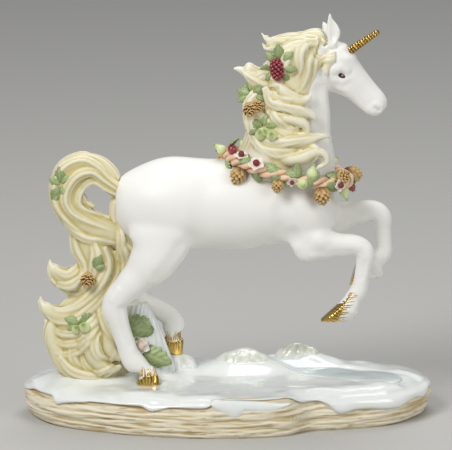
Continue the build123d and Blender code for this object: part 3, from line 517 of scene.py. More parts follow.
def finish(name):
    """A fired and painted surface of the table. Its stops run along the piece's painted value, its shade along the
    piece's tone, and its stretch flattens the mottle into layers."""
    if name in bpy.data.materials:
        return bpy.data.materials[name]
    _, stops, roughness, mottle, grain, extra = FINISHES[name]
    material = bpy.data.materials.new(name)
    material.use_nodes = True
    tree = material.node_tree
    tree.nodes.clear()
    place = add_node(tree, "ShaderNodeTexCoord").outputs["Object"]
    layered = add_node(
        tree, "ShaderNodeMapping", {}, {"Vector": place, "Scale": (1.0, 1.0, extra.get("stretch", 1.0))}
    )
    cloud = add_node(
        tree, "ShaderNodeTexNoise", {}, {"Vector": layered.outputs[0], "Scale": 1 / (mottle[0] * MM), "Detail": 4.0}
    )
    paint = add_node(tree, "ShaderNodeAttribute", {"attribute_name": "paint"})
    drift = add_node(
        tree, "ShaderNodeMath", {"operation": "MULTIPLY_ADD"}, {0: cloud.outputs[0], 1: mottle[1] * 2, 2: -mottle[1]}
    )
    value = add_node(
        tree, "ShaderNodeMath", {"operation": "ADD", "use_clamp": True}, {0: paint.outputs["Fac"], 1: drift.outputs[0]}
    )
    ramp = add_node(tree, "ShaderNodeValToRGB", {}, {"Fac": value.outputs[0]})
    while len(ramp.color_ramp.elements) < len(stops):
        ramp.color_ramp.elements.new(0.5)
    for element, (position, key) in zip(ramp.color_ramp.elements, stops):
        element.position, element.color = position, solid_colour(key)
    base = ramp.outputs["Color"]
    if "shade" in extra:
        tone = add_node(tree, "ShaderNodeAttribute", {"attribute_name": "tone"})
        base = add_node(
            tree, "ShaderNodeMix", {"data_type": "RGBA"},
            {0: tone.outputs["Fac"], 6: base, 7: solid_colour(extra["shade"])},
        ).outputs[2]
    tooth = add_node(tree, "ShaderNodeTexNoise", {}, {"Vector": place, "Scale": 1 / (grain[0] * MM), "Detail": 3.0})
    bump = add_node(
        tree, "ShaderNodeBump", {}, {"Height": tooth.outputs[0], "Strength": 0.6, "Distance": grain[1] * MM}
    )
    surface = add_node(
        tree, "ShaderNodeBsdfPrincipled", {},
        {"Base Color": base, "Roughness": roughness, "Metallic": extra.get("metallic", 0.0),
         "Coat Weight": extra.get("coat", 0.0), "Coat Roughness": 0.08, "Normal": bump.outputs[0]},
    )
    add_node(tree, "ShaderNodeOutputMaterial", {}, {"Surface": surface.outputs[0]})
    return material


# Figure

FIGURE_PARTS = (
    "trunk", "neck", "head", "ear_right", "ear_left", "foreleg_right", "foreleg_left", "hindleg_right", "hindleg_left",
)
# Joins that run together: middle along and up, and radius
JOINS = ((38.0, 98.0, 19.0), (49.0, 103.0, 15.0), (-34.0, 100.0, 22.0), (-31.0, 84.0, 12.0), (28.0, 132.0, 26.0))
# Modelling strokes as pixels of the photograph, then radius, height and how far the stroke darkens to the grey-beige,
# partly painted shade in a hollow; both sides take them
FIGURE_STROKES = (
    ([(333, 72), (340, 69), (346, 72)], 3.2, 0.75, 0.0),
    ([(335, 81), (341, 83), (346, 81)], 2.6, 0.45, 0.0),
    ([(340, 77)], 3.0, -0.7, 0.0),
    ([(352, 78), (360, 90), (366, 98)], 3.2, 0.35, 0.0),
    ([(346, 88), (356, 98), (364, 106)], 3.4, -0.45, 0.0),
    ([(331, 22), (332, 30), (333, 39)], 1.9, -0.8, 0.35),
    ([(345, 92), (355, 99.5), (364, 108), (371, 112.5)], 6.0, 1.5, 0.0),
    ([(374, 108.5), (377, 110.5)], 1.8, -1.2, 0.8),
    ([(375, 104.5), (381, 107.5), (380, 112.5)], 1.8, 0.5, 0.0),
    ([(361, 112), (368, 115.5), (375, 116)], 1.0, -0.8, 0.6),
    ([(322, 66), (326, 82), (334, 92), (344, 93)], 2.6, -0.6, 0.0),
    ([(331, 80), (336, 87)], 5.0, 0.55, 0.0),
    ([(318, 92), (321, 120), (322, 150)], 5.0, -0.8, 0.0),
    ([(288, 190), (282, 210), (284, 228), (292, 238)], 7.0, -1.3, 0.0),
    ([(306, 205), (312, 222), (318, 236)], 8.0, 1.0, 0.0),
    ([(205, 190), (203, 215), (198, 236)], 9.0, -0.7, 0.0),
    ([(150, 195), (165, 205), (176, 225)], 12.0, 0.7, 0.0),
    ([(180, 246), (170, 262), (158, 276)], 5.0, -0.6, 0.0),
    ([(320, 240), (340, 240), (356, 244)], 5.0, 0.5, 0.0),
    ([(312, 252), (330, 253), (350, 252)], 3.0, -0.35, 0.0),
    ([(343, 53), (350, 52)], 4.5, -1.3, 0.0),
    ([(365, 262), (361, 278)], 2.0, -0.4, 0.0),
    ([(118, 290), (112, 300)], 3.0, 0.5, 0.0),
    ([(120, 308), (124, 328), (131, 345)], 2.2, -0.45, 0.0),
)
# Ears: which side, how far the tip moves on and up, and how much broader the middle is
EARS = ((-1, -1.2, 0.0, 0.3), (1, 3.2, -4.2, 0.1))
EAR_ROOT = 195.5
EAR_TIP = 212.7
# The near elbow: pixel, radius, and how far its point is drawn on and up
ELBOW_PIXEL = (304, 254)
ELBOW_RADIUS = 9.0
ELBOW_DRAW = np.array([-1.2, 0.0, -3.0])
RAISED_HOOF = "fore_hoof_right"
# Hooves: the leg, and the ends of the line in the photograph that has the gold on its left
HOOVES = {
    "fore_hoof_right": ("foreleg_right", (337, 322), (351.5, 291)),
    "fore_hoof_left": ("foreleg_left", (362, 292), (362, 250)),
    "hind_hoof_right": ("hindleg_right", (168, 375.5), (132, 375.5)),
    "hind_hoof_left": ("hindleg_left", (190, 341), (150, 339.5)),
}
# The raised near hoof, from the heel to the toe: pixels on its front and its back, and its width
RAISED_SIDE = -12.0
RAISED_HEEL = (
    ((353, 288), (360, 304), 8.4), ((351.5, 291), (355, 315), 9.2), ((350, 293.5), (345.8, 320.6), 9.2),
    ((341, 301.6), (334.5, 320.6), 9.6),
)
RAISED_TOE = (
    ((350.5, 292.6), (345.8, 321.0), 9.4), ((344, 298.6), (341, 321.4), 10.0), ((337, 304.8), (335.5, 321.6), 10.2),
    ((330, 311.0), (330, 321.6), 9.6), ((324.5, 316.0), (325, 321.4), 8.0), ((320.6, 319.6), (321.2, 321.0), 5.4),
)


def add_hoof(shell, sections):
    """A hoof through oval sections, rounded between them."""
    rows = np.array([(*front, *back, width) for front, back, width in sections])
    turns = np.linspace(0, 2 * np.pi, 32, endpoint=False)
    rings = []
    for front_x, front_y, back_x, back_y, width in even_curve(rows, 26):
        front, back = photo_point(front_x, front_y, RAISED_SIDE), photo_point(back_x, back_y, RAISED_SIDE)
        across = np.sign(np.cos(turns)) * np.abs(np.cos(turns)) ** 0.85
        side = np.sign(np.sin(turns)) * np.abs(np.sin(turns)) ** 0.85
        rings.append(
            (front + back) / 2 + across[:, None] * (front - back) / 2 + side[:, None] * np.array([0, width / 2, 0])
        )
    shell.tube(np.array(rings))


class UNICORN_OT_figure(bpy.types.Operator):
    """Cast the horse's body, neck, head, ears and legs as one smooth porcelain skin"""

    bl_idname = "unicorn.figure"
    bl_label = "Figure"

    def execute(self, context):
        heel = Shell()
        add_hoof(heel, RAISED_HEEL)
        hooves = [hoof for hoof in HOOVES if hoof != RAISED_HOOF]
        skin = Skin((*FIGURE_PARTS, *hooves), cell=0.55, swell=0.2, rounds=5, extra=heel)
        weight = np.zeros(len(skin.points))
        for along, up, radius in JOINS:
            near = np.hypot(skin.points[:, 0] - along, skin.points[:, 2] - up)
            weight = np.maximum(weight, 1 - eased(near, 0.4 * radius, radius))
        skin.relax(60, weight)
        for side, tip_ahead, tip_up, broad in EARS:
            share = eased(skin.points[:, 2], EAR_ROOT, EAR_TIP) * (skin.points[:, 1] * side > 0.8)
            middle = skin.points[share > 0, 0].mean()
            skin.points[:, 0] += broad * np.sin(np.pi * share) * (skin.points[:, 0] - middle) + tip_ahead * share
            skin.points[:, 2] += tip_up * share
        across, down = pixels_of(skin.points)
        away = np.hypot(across - ELBOW_PIXEL[0], down - ELBOW_PIXEL[1]) * PIXEL / ELBOW_RADIUS
        skin.points += (np.clip(1 - away**2, 0, 1) ** 2 * (skin.points[:, 1] < 0))[:, None] * ELBOW_DRAW
        tree = skin.tree()
        # The strokes into the nostrils, mouth and ear hollows also darken them, partly as painted shade
        for pixels, radius, height, recess_shade_tint in FIGURE_STROKES:
            path = np.array([seat_at(tree, *pixel)[0] for pixel in pixels])
            skin.stroke(path, radius, height, recess_shade_tint)
            skin.stroke(path * [1, -1, 1], radius, height, recess_shade_tint)
        skin.relax(2)
        skin.shell().make("figure", "bisque porcelain", FIGURE_PARTS)
        return {"FINISHED"}


# Eye: pixels at its middle and towards its front, half its width, its rise over and under the middle, and how far
# its rim and its middle stand out
EYE_MIDDLE = (339.6, 76.6)
EYE_FRONT = (343.2, 78.2)
EYE_HALF = 2.5
EYE_RISE = (1.45, 1.15)
EYE_RIM = 0.3
EYE_BULGE = 0.6
EYE_RINGS = 9


class UNICORN_OT_eyes(bpy.types.Operator):
    """Paint an almond eye with its lid and point of light on each side of the head"""

    bl_idname = "unicorn.eyes"
    bl_label = "Eyes"

    def execute(self, context):
        tree = piece_tree("figure")
        shell = Shell()
        middle, _ = seat_at(tree, *EYE_MIDDLE)
        front, _ = seat_at(tree, *EYE_FRONT)
        turns = np.linspace(0, 2 * np.pi, 28, endpoint=False)
        reaches = np.linspace(0.02, 1.0, EYE_RINGS)
        for side in (1, -1):
            seat, forward = middle * [1, side, 1], unit((front - middle) * [1, side, 1])
            place, facing, _, _ = tree.find_nearest(Vector(seat))
            place, facing = np.array(place), unit(facing)
            up = unit(np.cross(forward, facing))
            up *= np.sign(up[2])
            across = np.cos(turns) * EYE_HALF
            rise = np.sin(turns) * np.where(np.sin(turns) > 0, *EYE_RISE) * np.abs(np.sin(turns)) ** 0.15
            rings = np.array([
                place + facing * (EYE_RIM + EYE_BULGE * (1 - reach**2))
                + forward * (across * reach)[:, None] + up * (rise * reach)[:, None]
                for reach in reaches
            ])
            ring_paint = np.interp(reaches, [0.0, 0.4, 0.62, 0.86, 1.0], [0.0, 0.05, 0.6, 0.5, 0.1])
            shell.tube(rings, np.repeat(ring_paint, len(turns)))
            spark = place + facing * 0.8 + forward * 0.5 + up * 0.45
            shell.lathe(spark, facing, [(0.3, 0.0), (0.24, 0.14), (0.1, 0.2)], 10, 1.0)
        shell.make("eyes", "eye enamel")
        return {"FINISHED"}


HORN_FOOT = (345.5, 54.5)
HORN_TIP = (378.0, 32.5)
# Horn: its radius at the foot and what it loses to the tip, and the turns and beads of its ribs
HORN_RADIUS = 2.45
HORN_TAPER = 1.05
HORN_TURNS = 14
HORN_BEADS = 8
# Gold hairs on a hoof: how many, points along each, and the shortest and the further rise
HOOF_HAIRS = 30
HAIR_POINTS = 9
HAIR_RISE = (2.4, 3.0)
# How far the gold sinks under the white beyond its line, and the spacing and depth of its brushed grooves
GOLD_SINK = 0.95
GROOVE_SPACING = 1.5
GROOVE_DEPTH = 0.16


def gold_line(hoof):
    """Where a hoof's gold line starts in the photograph, the way along it and the way off the gold."""
    _, start, end = HOOVES[hoof]
    line = unit(np.subtract(end, start))
    return start, line, np.array([-line[1], line[0]])


def brush_hair(shell, tree, begin, onward, rise):
    """A gold hair laid on a surface, thick where it begins and running out to a point."""
    path, facings, shares = [], [], np.linspace(0, 1, HAIR_POINTS)
    for share in shares:
        place, facing, _, _ = tree.find_nearest(Vector(begin + onward * rise * share))
        path.append(np.array(place))
        facings.append(unit(facing))
    path, facings = np.array(path), np.array(facings)
    sideways = np.cross(unit(np.gradient(path, axis=0)), facings)
    width = size_of("stroke") / 2 * (1 - shares**1.5)[:, None] + 0.05
    edge = path + facings * 0.05
    grid = np.stack([edge - sideways * width, path + facings * 0.22, edge + sideways * width], axis=1)
    shell.slab(grid, -0.3 * facings.mean(axis=0))


class UNICORN_OT_gilding(bpy.types.Operator):
    """Gild the ribbed horn and the hooves, and stroke gold hairs over each coronet"""

    bl_idname = "unicorn.gilding"
    bl_label = "Gilding"

    def execute(self, context):
        self.gild_horn()
        tree, strokes = piece_tree("figure"), Shell()
        points = np.array([vertex.co for vertex in bpy.data.objects["figure"].data.vertices]) / MM
        for hoof in HOOVES:
            self.gild_hoof(hoof)
            self.stroke_hairs(strokes, tree, points, hoof)
        strokes.make("gilt_hairs", "burnished gold")
        return {"FINISHED"}

    def gild_horn(self):
        """Turn the horn with its spiral of beaded ribs."""
        foot, tip = photo_point(*HORN_FOOT), photo_point(*HORN_TIP)
        axis = unit(tip - foot)
        other = np.cross(axis, FACING)
        turns = np.linspace(0, 2 * np.pi, 36, endpoint=False)
        rings, paint = [], []
        for rise in np.linspace(-0.06, 1.0, 190):
            beads = np.cos(HORN_BEADS * turns + 2 * np.pi * 5 * rise)
            wave = np.cos(turns - 2 * np.pi * HORN_TURNS * rise) + 0.4 * beads
            reach = (HORN_RADIUS - HORN_TAPER * rise) * (0.9 + 0.1 * wave) * (1 - 0.6 * eased(rise, 0.97, 1.0))
            rings.append(foot + axis * rise * np.linalg.norm(tip - foot)
                         + (np.cos(turns) * reach)[:, None] * FACING + (np.sin(turns) * reach)[:, None] * other)
            # Darker gold in the troughs between the ribs: painted shade
            paint.append(np.clip(0.5 - 0.5 * wave, 0, 1))
        horn = Shell()
        horn.tube(np.array(rings), np.array(paint))
        horn.make("horn_gilt", "burnished gold", ["horn"])

    def gild_hoof(self, hoof):
        """Gild a hoof up to its line, with brushed grooves."""
        start, line, away = gold_line(hoof)
        if hoof == RAISED_HOOF:
            toe = Shell()
            add_hoof(toe, RAISED_TOE)
            skin = Skin([], cell=0.3, swell=0.0, rounds=3, extra=toe)
        else:
            skin = Skin([hoof], cell=0.35, swell=0.4, rounds=8)
        reach = np.column_stack(pixels_of(skin.points)) - start
        bare = reach @ away * PIXEL + 0.5 * rough(skin.points, 1.7)
        skin.points -= skin.normals() * (GOLD_SINK * eased(bare, -0.35, 0.35))[:, None]
        reach = np.column_stack(pixels_of(skin.points)) - start
        run = reach @ line * PIXEL + 0.5 * rough(skin.points, 3.0)
        grooves = np.sin(2 * np.pi * run / GROOVE_SPACING) * eased(reach @ away * PIXEL, -6.5, -1.5)
        skin.points += skin.normals() * (GROOVE_DEPTH * grooves)[:, None]
        # Darker gold down in the brushed grooves: painted shade
        skin.paint = np.clip(-0.9 * grooves, 0, 1)
        skin.shell().make(f"{hoof}_gilt", "burnished gold", [hoof])

    def stroke_hairs(self, strokes, tree, points, hoof):
        """Stroke gold hairs over the line of a hoof, all round it."""
        start, _, away = gold_line(hoof)
        beyond = np.array([away[0], -away[1] * math.sin(ELEVATION), -away[1] * math.cos(ELEVATION)])
        low, high = packed_box(hoof)
        middle = (low + high) / 2
        bare = (np.column_stack(pixels_of(points)) - start) @ away * PIXEL
        near = points[(np.abs(bare) < 0.35) & (np.linalg.norm(points - middle, axis=1) < 13)]
        upward = unit(np.mean(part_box(HOOVES[hoof][0]), axis=0) / MM - middle)
        across, other = square_to(upward, [0, 1, 0])
        spread = near - near.mean(axis=0)
        near = near[np.argsort(np.arctan2(spread @ other, spread @ across))]
        for index in range(HOOF_HAIRS):
            begin = near[int(index * len(near) / HOOF_HAIRS)] - beyond * 0.6
            onward = unit(beyond + 0.5 * upward + 0.25 * math.sin(index * 1.7) * other)
            rise = HAIR_RISE[0] + HAIR_RISE[1] * abs(math.sin(index * 2.4))
            brush_hair(strokes, tree, begin, onward, rise)


# Hair

SPRAYS = ("leaves", "cones", "pears", "raspberry")
MANE_PARTS = tuple(name for name in nodes if name.startswith(("mane_", "forelock")) and not name.endswith(SPRAYS))
TAIL_PARTS = tuple(name for name in nodes if name.startswith("tail_") and not name.endswith(SPRAYS))
# Locks of the mane: pixels of the photograph that the lock follows, width, thickness and ridges
MANE_LOCKS = (
    ([(323, 42), (309, 41), (295, 43), (279, 42), (268, 42), (260, 33)], 6.6, 6.0, 5),
    ([(317, 45), (299, 47), (284, 49), (272, 50), (265, 50), (261, 44)], 6.4, 6.0, 5),
    ([(303, 46), (290, 51), (278, 59), (268, 67), (262, 74), (259, 80)], 8.0, 6.5, 5),
    ([(297, 46), (289, 54), (285, 65), (280, 76), (272, 85)], 8.0, 6.5, 5),
    ([(318, 42), (304, 47), (299, 57), (299, 69), (295, 79), (288, 87)], 8.0, 6.5, 5),
    ([(279, 86), (262, 83), (250, 77), (241, 71), (232.5, 69.5)], 8.5, 8.0, 6),
    ([(276, 79), (264, 77), (255, 82), (248, 89), (246, 97)], 8.0, 7.0, 5),
    ([(259, 76), (267, 91), (280, 98), (293, 100.5), (303, 94.5)], 7.0, 6.5, 5),
    ([(264, 88), (272, 103), (288, 108), (301, 111), (307, 115), (305, 121)], 7.4, 6.5, 5),
    ([(265, 106), (277, 119), (288, 127.5), (296, 128), (297.5, 122), (291, 120)], 6.4, 6.0, 5),
    ([(274, 128), (292, 136), (308, 136), (324, 135.5)], 5.4, 5.0, 4),
    ([(258, 138), (272, 143), (291, 142), (308, 139), (319, 138)], 7.0, 6.0, 5),
    ([(258, 144), (270, 151), (288, 151), (305, 147.5), (314, 148), (316.5, 155), (313, 161),
      (307, 163.5)], 6.4, 5.6, 5),
    ([(263, 149), (274, 155), (288, 155), (301, 152.5), (308, 153)], 5.6, 5.2, 4),
    ([(262, 90), (253, 98), (249.5, 108), (253, 122), (259, 136), (266, 147)], 8.6, 8.0, 6),
    ([(252, 110), (263, 119), (276, 126), (288, 133)], 7.6, 6.0, 5),
    ([(256, 124), (265, 133), (278, 138), (292, 140)], 7.0, 6.0, 5),
    ([(268, 94), (280, 106), (294, 113), (302, 120)], 6.4, 5.5, 4),
    ([(252, 116), (253, 132), (259, 146), (270, 155), (284, 158)], 7.5, 6.4, 5),
    ([(250, 108), (251, 124), (257, 141), (267, 152)], 7.0, 6.0, 5),
    ([(314, 47), (308, 60), (306, 74), (301, 88), (292, 97)], 7.0, 5.0, 5),
    ([(320, 45), (313, 54), (309, 66), (307, 78)], 5.0, 4.0, 4),
    ([(337, 55), (331, 58.5), (324, 60), (318, 63), (315, 70), (314, 81)], 4.8, 4.4, 4),
    ([(336, 59), (329, 62), (321, 63.5), (317, 70), (316, 78)], 4.2, 3.8, 3),
    ([(323, 41), (317, 50), (314, 62), (312, 76), (308, 90)], 6.0, 5.0, 5),
    ([(280, 121), (292, 130), (303, 131), (312, 128)], 5.4, 5.0, 4),
)
# Pixels across which the forelock dives into the brow, the row that it stays above, and how far it dives
BARE_BROW = (333.5, 338.5)
BROW_FOOT = 62
BROW_DIVE = np.array([-1.0, 1.0, -6.0])
# Pixels across and down over which the wash fades at the back of the mane's foot
FADE_ACROSS = (262, 272)
FADE_DOWN = (146, 156)
# Locks of the tail, in the same way, and how much more wash it has: a yellower wash, and painted shade where the tail
# lies in the shadow of the haunch
TAIL_WASH_AND_SHADE = 0.1
TAIL_LOCKS = (
    ([(123, 189), (109, 178), (98, 167), (84, 160.5), (69, 165), (59, 175), (55.5, 190), (58, 206), (69, 221),
      (86, 234), (108, 238), (126, 243), (133, 253)], 6.6, 7.0, 6),
    ([(124, 193), (107, 182), (93, 172), (79, 175), (70, 185), (66, 200), (73, 213), (89, 222), (108, 229),
      (125, 236), (133, 248)], 7.0, 7.5, 6),
    ([(124, 197), (107, 188), (95, 180), (84, 184.5), (78, 196), (80, 207), (94, 214), (111, 218),
      (123, 227)], 6.0, 7.0, 5),
    ([(129, 190), (118, 199), (114.5, 211), (117, 224), (126, 238)], 7.0, 6.0, 5),
    ([(80, 194), (84, 201), (90, 204), (96.5, 207)], 5.5, 5.5, 4),
    ([(62, 214), (72, 228), (87, 238), (104, 240), (120, 244), (131, 254)], 6.6, 6.6, 5),
    ([(73, 228), (77, 248), (85, 266), (81, 280), (69, 290)], 8.0, 7.0, 5),
    ([(83, 262), (70, 274), (59, 272), (50, 262)], 6.5, 6.0, 4),
    ([(86, 274), (71, 285), (57, 282), (50, 272), (48.8, 261)], 7.5, 6.5, 5),
    ([(90, 280), (77, 292), (63, 288.5), (53, 278)], 6.0, 5.5, 4),
    ([(93, 240), (97, 256), (92, 276), (82, 290)], 9.0, 7.5, 5),
    ([(103, 247), (108, 264), (101, 283), (84, 302), (65, 311), (50, 308), (39, 298.5)], 8.5, 7.5, 5),
    ([(116, 250), (117, 266), (107, 289), (92, 308), (72, 321), (54, 320), (41, 309), (37.5, 300)], 8.5, 7.5, 5),
    ([(102, 303), (92, 324), (75, 333.5), (56, 332), (42, 318)], 8.0, 7.0, 5),
    ([(99, 320), (89, 337), (72, 344), (57, 343), (45, 331)], 7.5, 6.5, 5),
    ([(95, 332), (84, 347), (68, 355), (57, 353), (49, 343)], 7.5, 6.5, 5),
    ([(100, 327), (95, 343), (99, 356), (110, 359), (114.5, 352), (107, 344)], 7.0, 6.0, 5),
    ([(59, 357), (71, 370), (88, 376), (106, 375), (118, 366)], 7.5, 6.5, 5),
    ([(83, 352), (86, 364), (98, 371), (111, 367), (121, 360)], 7.0, 6.0, 5),
    ([(100, 294), (103, 311), (108, 328), (116, 345), (121, 358)], 8.0, 6.5, 5),
    ([(72, 345), (73, 359), (82, 368), (94, 374)], 7.0, 6.0, 4),
    ([(124, 242), (134, 254), (132, 266), (124, 280), (112, 296)], 8.0, 6.5, 5),
    ([(117, 214), (120, 228), (122, 242), (121, 256), (116, 272), (109, 288)], 7.4, 6.0, 5),
    ([(118, 236), (124, 248), (127, 260), (124, 274), (117, 288)], 8.0, 6.5, 5),
)
# Spacing and height of the strands combed along the back edges of the hair
STRAND = 3.0
STRAND_RISE = 0.32
# A lock: points along it, the share of its thickness that is sunk, how deep its grooves are, and how far in front of
# and behind its middle it may lie
LOCK_POINTS = 44
LOCK_SUNK = 0.17
LOCK_GROOVE = 0.24
LOCK_REACH = (12, 4)


def laid_route(tree, pixels, lift):
    """A path over a surface under pixels of the photograph, and which way its surface faces."""
    flat = even_curve(pixels, LOCK_POINTS)
    hits = [tree.ray_cast(Vector(photo_point(px, py, -FAR)), Vector(VIEW)) for px, py in flat]
    sides = gaps_filled(np.array([np.nan if hit[0] is None else hit[0].y for hit in hits]))
    sides = run_smooth(np.clip(sides, np.median(sides) - LOCK_REACH[0], np.median(sides) + LOCK_REACH[1]))
    facing = np.array([FACING if hit[0] is None else np.array(hit[1]) for hit in hits])
    path = np.array([photo_point(px, py, side - lift) for (px, py), side in zip(flat, sides)])
    return path, unit(np.column_stack([run_smooth(row) for row in facing.T]) + FACING)


def far_route(tree, path, lift):
    """The same path on the far side of the surface."""
    hits = [tree.ray_cast(Vector((x, FAR, z)), Vector((0, -1, 0)))[0] for x, _, z in path]
    sides = run_smooth(gaps_filled(np.array([np.nan if hit is None else hit.y for hit in hits])))
    return np.column_stack([path[:, 0], sides + lift, path[:, 2]])


def add_lock(shell, path, facing, width, thickness, ridges):
    """A tapering lock of hair with rounded ridges along it."""
    share = np.linspace(0, 1, len(path))
    swell = (0.55 + 0.45 * eased(share, 0.0, 0.35)) * np.clip(1 - share**2.1, 0, 1) ** 0.8
    swell = np.maximum(swell, 0.04)[:, None, None]
    along = unit(np.gradient(path, axis=0))
    up = unit(facing - along * np.sum(facing * along, axis=1, keepdims=True))
    side = np.cross(along, up)
    turns = np.linspace(0, 2 * np.pi, 8 * ridges, endpoint=False)
    reach = 1 - LOCK_GROOVE * (1 - np.abs(np.sin(ridges * turns / 2)) ** 0.7)
    rings = path[:, None, :] + swell * (
        side[:, None, :] * (np.cos(turns) * reach * width / 2)[None, :, None]
        + up[:, None, :] * (np.sin(turns) * reach * thickness / 2)[None, :, None]
    )
    shell.tube(rings)


def model_hair(parts, locks, carriers=()):
    """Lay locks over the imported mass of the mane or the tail, and on its far side also over what carries it."""
    tree, far_tree = part_tree(*parts), part_tree(*parts, *carriers)
    combed = Shell()
    for pixels, width, thickness, ridges in locks:
        lift = -LOCK_SUNK * thickness
        path, facing = laid_route(tree, pixels, lift)
        add_lock(combed, path, facing, width, thickness, ridges)
        add_lock(combed, far_route(far_tree, path, lift), facing * [1, -1, 1], width, thickness, ridges)
    skin = Skin(parts, cell=0.42, swell=0.0, rounds=3, extra=combed)
    facing = skin.normals()
    edge = 1 - eased(np.abs(facing[:, 1]), 0.5, 0.8)
    wander = rough(skin.points, 18.0)
    strands = np.sin(2 * np.pi * (skin.points[:, 1] + 3.0 * wander) / STRAND) * (0.65 + 0.7 * wander)
    skin.points += facing * (STRAND_RISE * strands * edge)[:, None]
    # The painted value follows how deep each point lies: straw wash with painted shade in the hollows, and a painted
    # highlight on the crests
    depth = skin.hollows(14)
    skin.paint = np.clip(0.43 + 0.32 * depth / np.percentile(np.abs(depth), 85), 0, 1)
    skin.points += skin.normals() * (0.6 * np.maximum(skin.hollows(70), 0))[:, None]
    skin.relax(2)
    return skin


class UNICORN_OT_mane(bpy.types.Operator):
    """Model the flowing mane and the forelock"""

    bl_idname = "unicorn.mane"
    bl_label = "Mane"

    def execute(self, context):
        skin = model_hair(MANE_PARTS, MANE_LOCKS, ("head", "neck"))
        across, down = pixels_of(skin.points)
        skin.points += (eased(across, *BARE_BROW) * (down < BROW_FOOT))[:, None] * BROW_DIVE
        skin.paint *= 1 - eased(down, *FADE_DOWN) * (1 - eased(across, *FADE_ACROSS))
        skin.shell().make("mane_hair", "ivory bisque", MANE_PARTS)
        return {"FINISHED"}


class UNICORN_OT_tail(bpy.types.Operator):
    """Model the arched tail down to the snow"""

    bl_idname = "unicorn.tail"
    bl_label = "Tail"

    def execute(self, context):
        skin = model_hair(TAIL_PARTS, TAIL_LOCKS)
        # Darker all over: a yellower wash and painted shade of the haunch
        skin.paint = np.clip(skin.paint + TAIL_WASH_AND_SHADE, 0, 1)
        skin.shell().make("tail_hair", "ivory bisque", TAIL_PARTS)
        return {"FINISHED"}


# Sprigs

# The turn from one scale or bead to the next in a spiral
GOLDEN_TURN = 2.39996
CONE_SCALES = 32
RASPBERRY_BEADS = 64
CROWN_POINTS = 5
PETALS = 5
# Kinds of sprig: the last words of the piece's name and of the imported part's, and the finish
SPRIGS = {
    "leaf": ("foliage", "leaves", "leaf enamel"), "cone": ("fir_cones", "cones", "cone enamel"),
    "pear": ("fruit", "pears", "fruit enamel"), "berry": ("beads", "berries", "berry enamel"),
    "blossom": ("flowers", "blossoms", "blossom enamel"),
}


def make_sprigs(prefix, shells):
    """Make a piece of each kind of sprig that was set."""
    for kind, shell in shells.items():
        piece, part, surface = SPRIGS[kind]
        if shell.points:
            shell.make(f"{prefix}_{piece}", surface, [f"{prefix}_{part}"])


def add_leaf(shell, seat, facing, along, long, tone):
    """A pressed leaf: folded on its midrib, toothed, with raised veins, lying on what carries it."""
    facing = unit(facing)
    along = unit(along - facing * (along @ facing))
    side = np.cross(facing, along)
    rows, columns = 15, 9
    reach = np.linspace(0, 1, rows)[:, None]
    across = np.linspace(-1, 1, columns)[None, :]
    half = long * 0.33 * np.sin(np.pi * np.clip(reach, 0.02, 0.98) ** 0.85) ** 0.8
    half = half * (1 + 0.13 * np.sign(np.sin(reach * 30)) * np.abs(across) ** 3)
    veins = np.cos(2 * np.pi * (reach * 5 - np.abs(across) * 1.3))
    fold = 0.16 * np.abs(across) ** 1.5 * half / (0.33 * long)
    height = long * (0.05 + 0.12 * np.sin(np.pi * reach) - 0.1 * reach**2 - fold)
    height = height + 0.02 * long * veins * np.abs(across) ** 0.5 - 0.03 * long * np.exp(-((across / 0.12) ** 2))
    grid = (
        seat + along * (reach * long * np.ones_like(across))[..., None] + side * (across * half)[..., None]
        + facing * height[..., None]
    )
    # Pale raised veins and midrib, darker between the veins as painted shade and towards the centre
    paint = 0.42 + 0.3 * veins * np.abs(across) ** 0.5
    paint = paint + 0.3 * np.exp(-((across / 0.14) ** 2)) - 0.18 * (1 - np.abs(across))
    shell.slab(grid, -facing * 0.7, np.clip(paint, 0, 1), tone)


def add_cone(shell, seat, axis, wide, long):
    """A fir cone: a core under overlapping scales in a spiral."""
    axis = unit(axis)
    across, other = square_to(axis, [0.2, 0.9, 0.4])

    def girth(share):
        return wide / 2 * (0.62 + 0.38 * math.sin(math.pi * min(share + 0.12, 1.0))) * (1 - share**3.2)

    # The core between the scales is painted in the shadow colour
    core = [(0.86 * girth(share), share * long * 0.96) for share in np.linspace(0, 1, 9)]
    shell.lathe(seat, axis, core, 14)
    reach = np.linspace(0, 1, 4)[:, None]
    spread = np.linspace(-1, 1, 5)[None, :]
    bow = np.sqrt(np.clip(1 - (reach * 0.9) ** 2.4, 0, 1))
    # Each scale darkens towards its root: painted shadow
    paint = np.clip(0.15 + 0.75 * reach * np.ones_like(spread), 0, 1)
    for index in range(CONE_SCALES):
        share = 0.02 + 0.92 * index / CONE_SCALES
        turn = index * GOLDEN_TURN
        out = math.cos(turn) * across + math.sin(turn) * other
        size = wide * (0.34 - 0.14 * share)
        grid = (
            seat + axis * share * long + out * girth(share) * 0.78
            + axis * (size * 1.25 * reach * np.ones_like(spread))[..., None]
            + out * (size * (0.2 + 0.62 * reach - 0.3 * spread**2) * np.ones_like(reach))[..., None]
            + np.cross(axis, out) * (size * 0.62 * bow * spread)[..., None]
        )
        shell.slab(grid, -out * 0.3 * size, paint)


def add_pear(shell, seat, axis, wide):
    """A little pear on its side, with a calyx."""
    profile = [
        (0.02, 0.0), (0.3, 0.03), (0.46, 0.2), (0.5, 0.42), (0.42, 0.68), (0.27, 0.9), (0.2, 1.1), (0.12, 1.24),
        (0.02, 1.27),
    ]
    paint = [1.0, 0.7, 0.4, 0.2, 0.2, 0.35, 0.6, 0.9, 1.0]
    shell.lathe(seat, axis, np.array(profile) * wide, 22, paint)
    calyx = np.array([(0.1, 0.0), (0.15, 0.06), (0.05, 0.14)]) * wide
    shell.lathe(seat + unit(axis) * 1.22 * wide, axis, calyx, 7, 1.0)


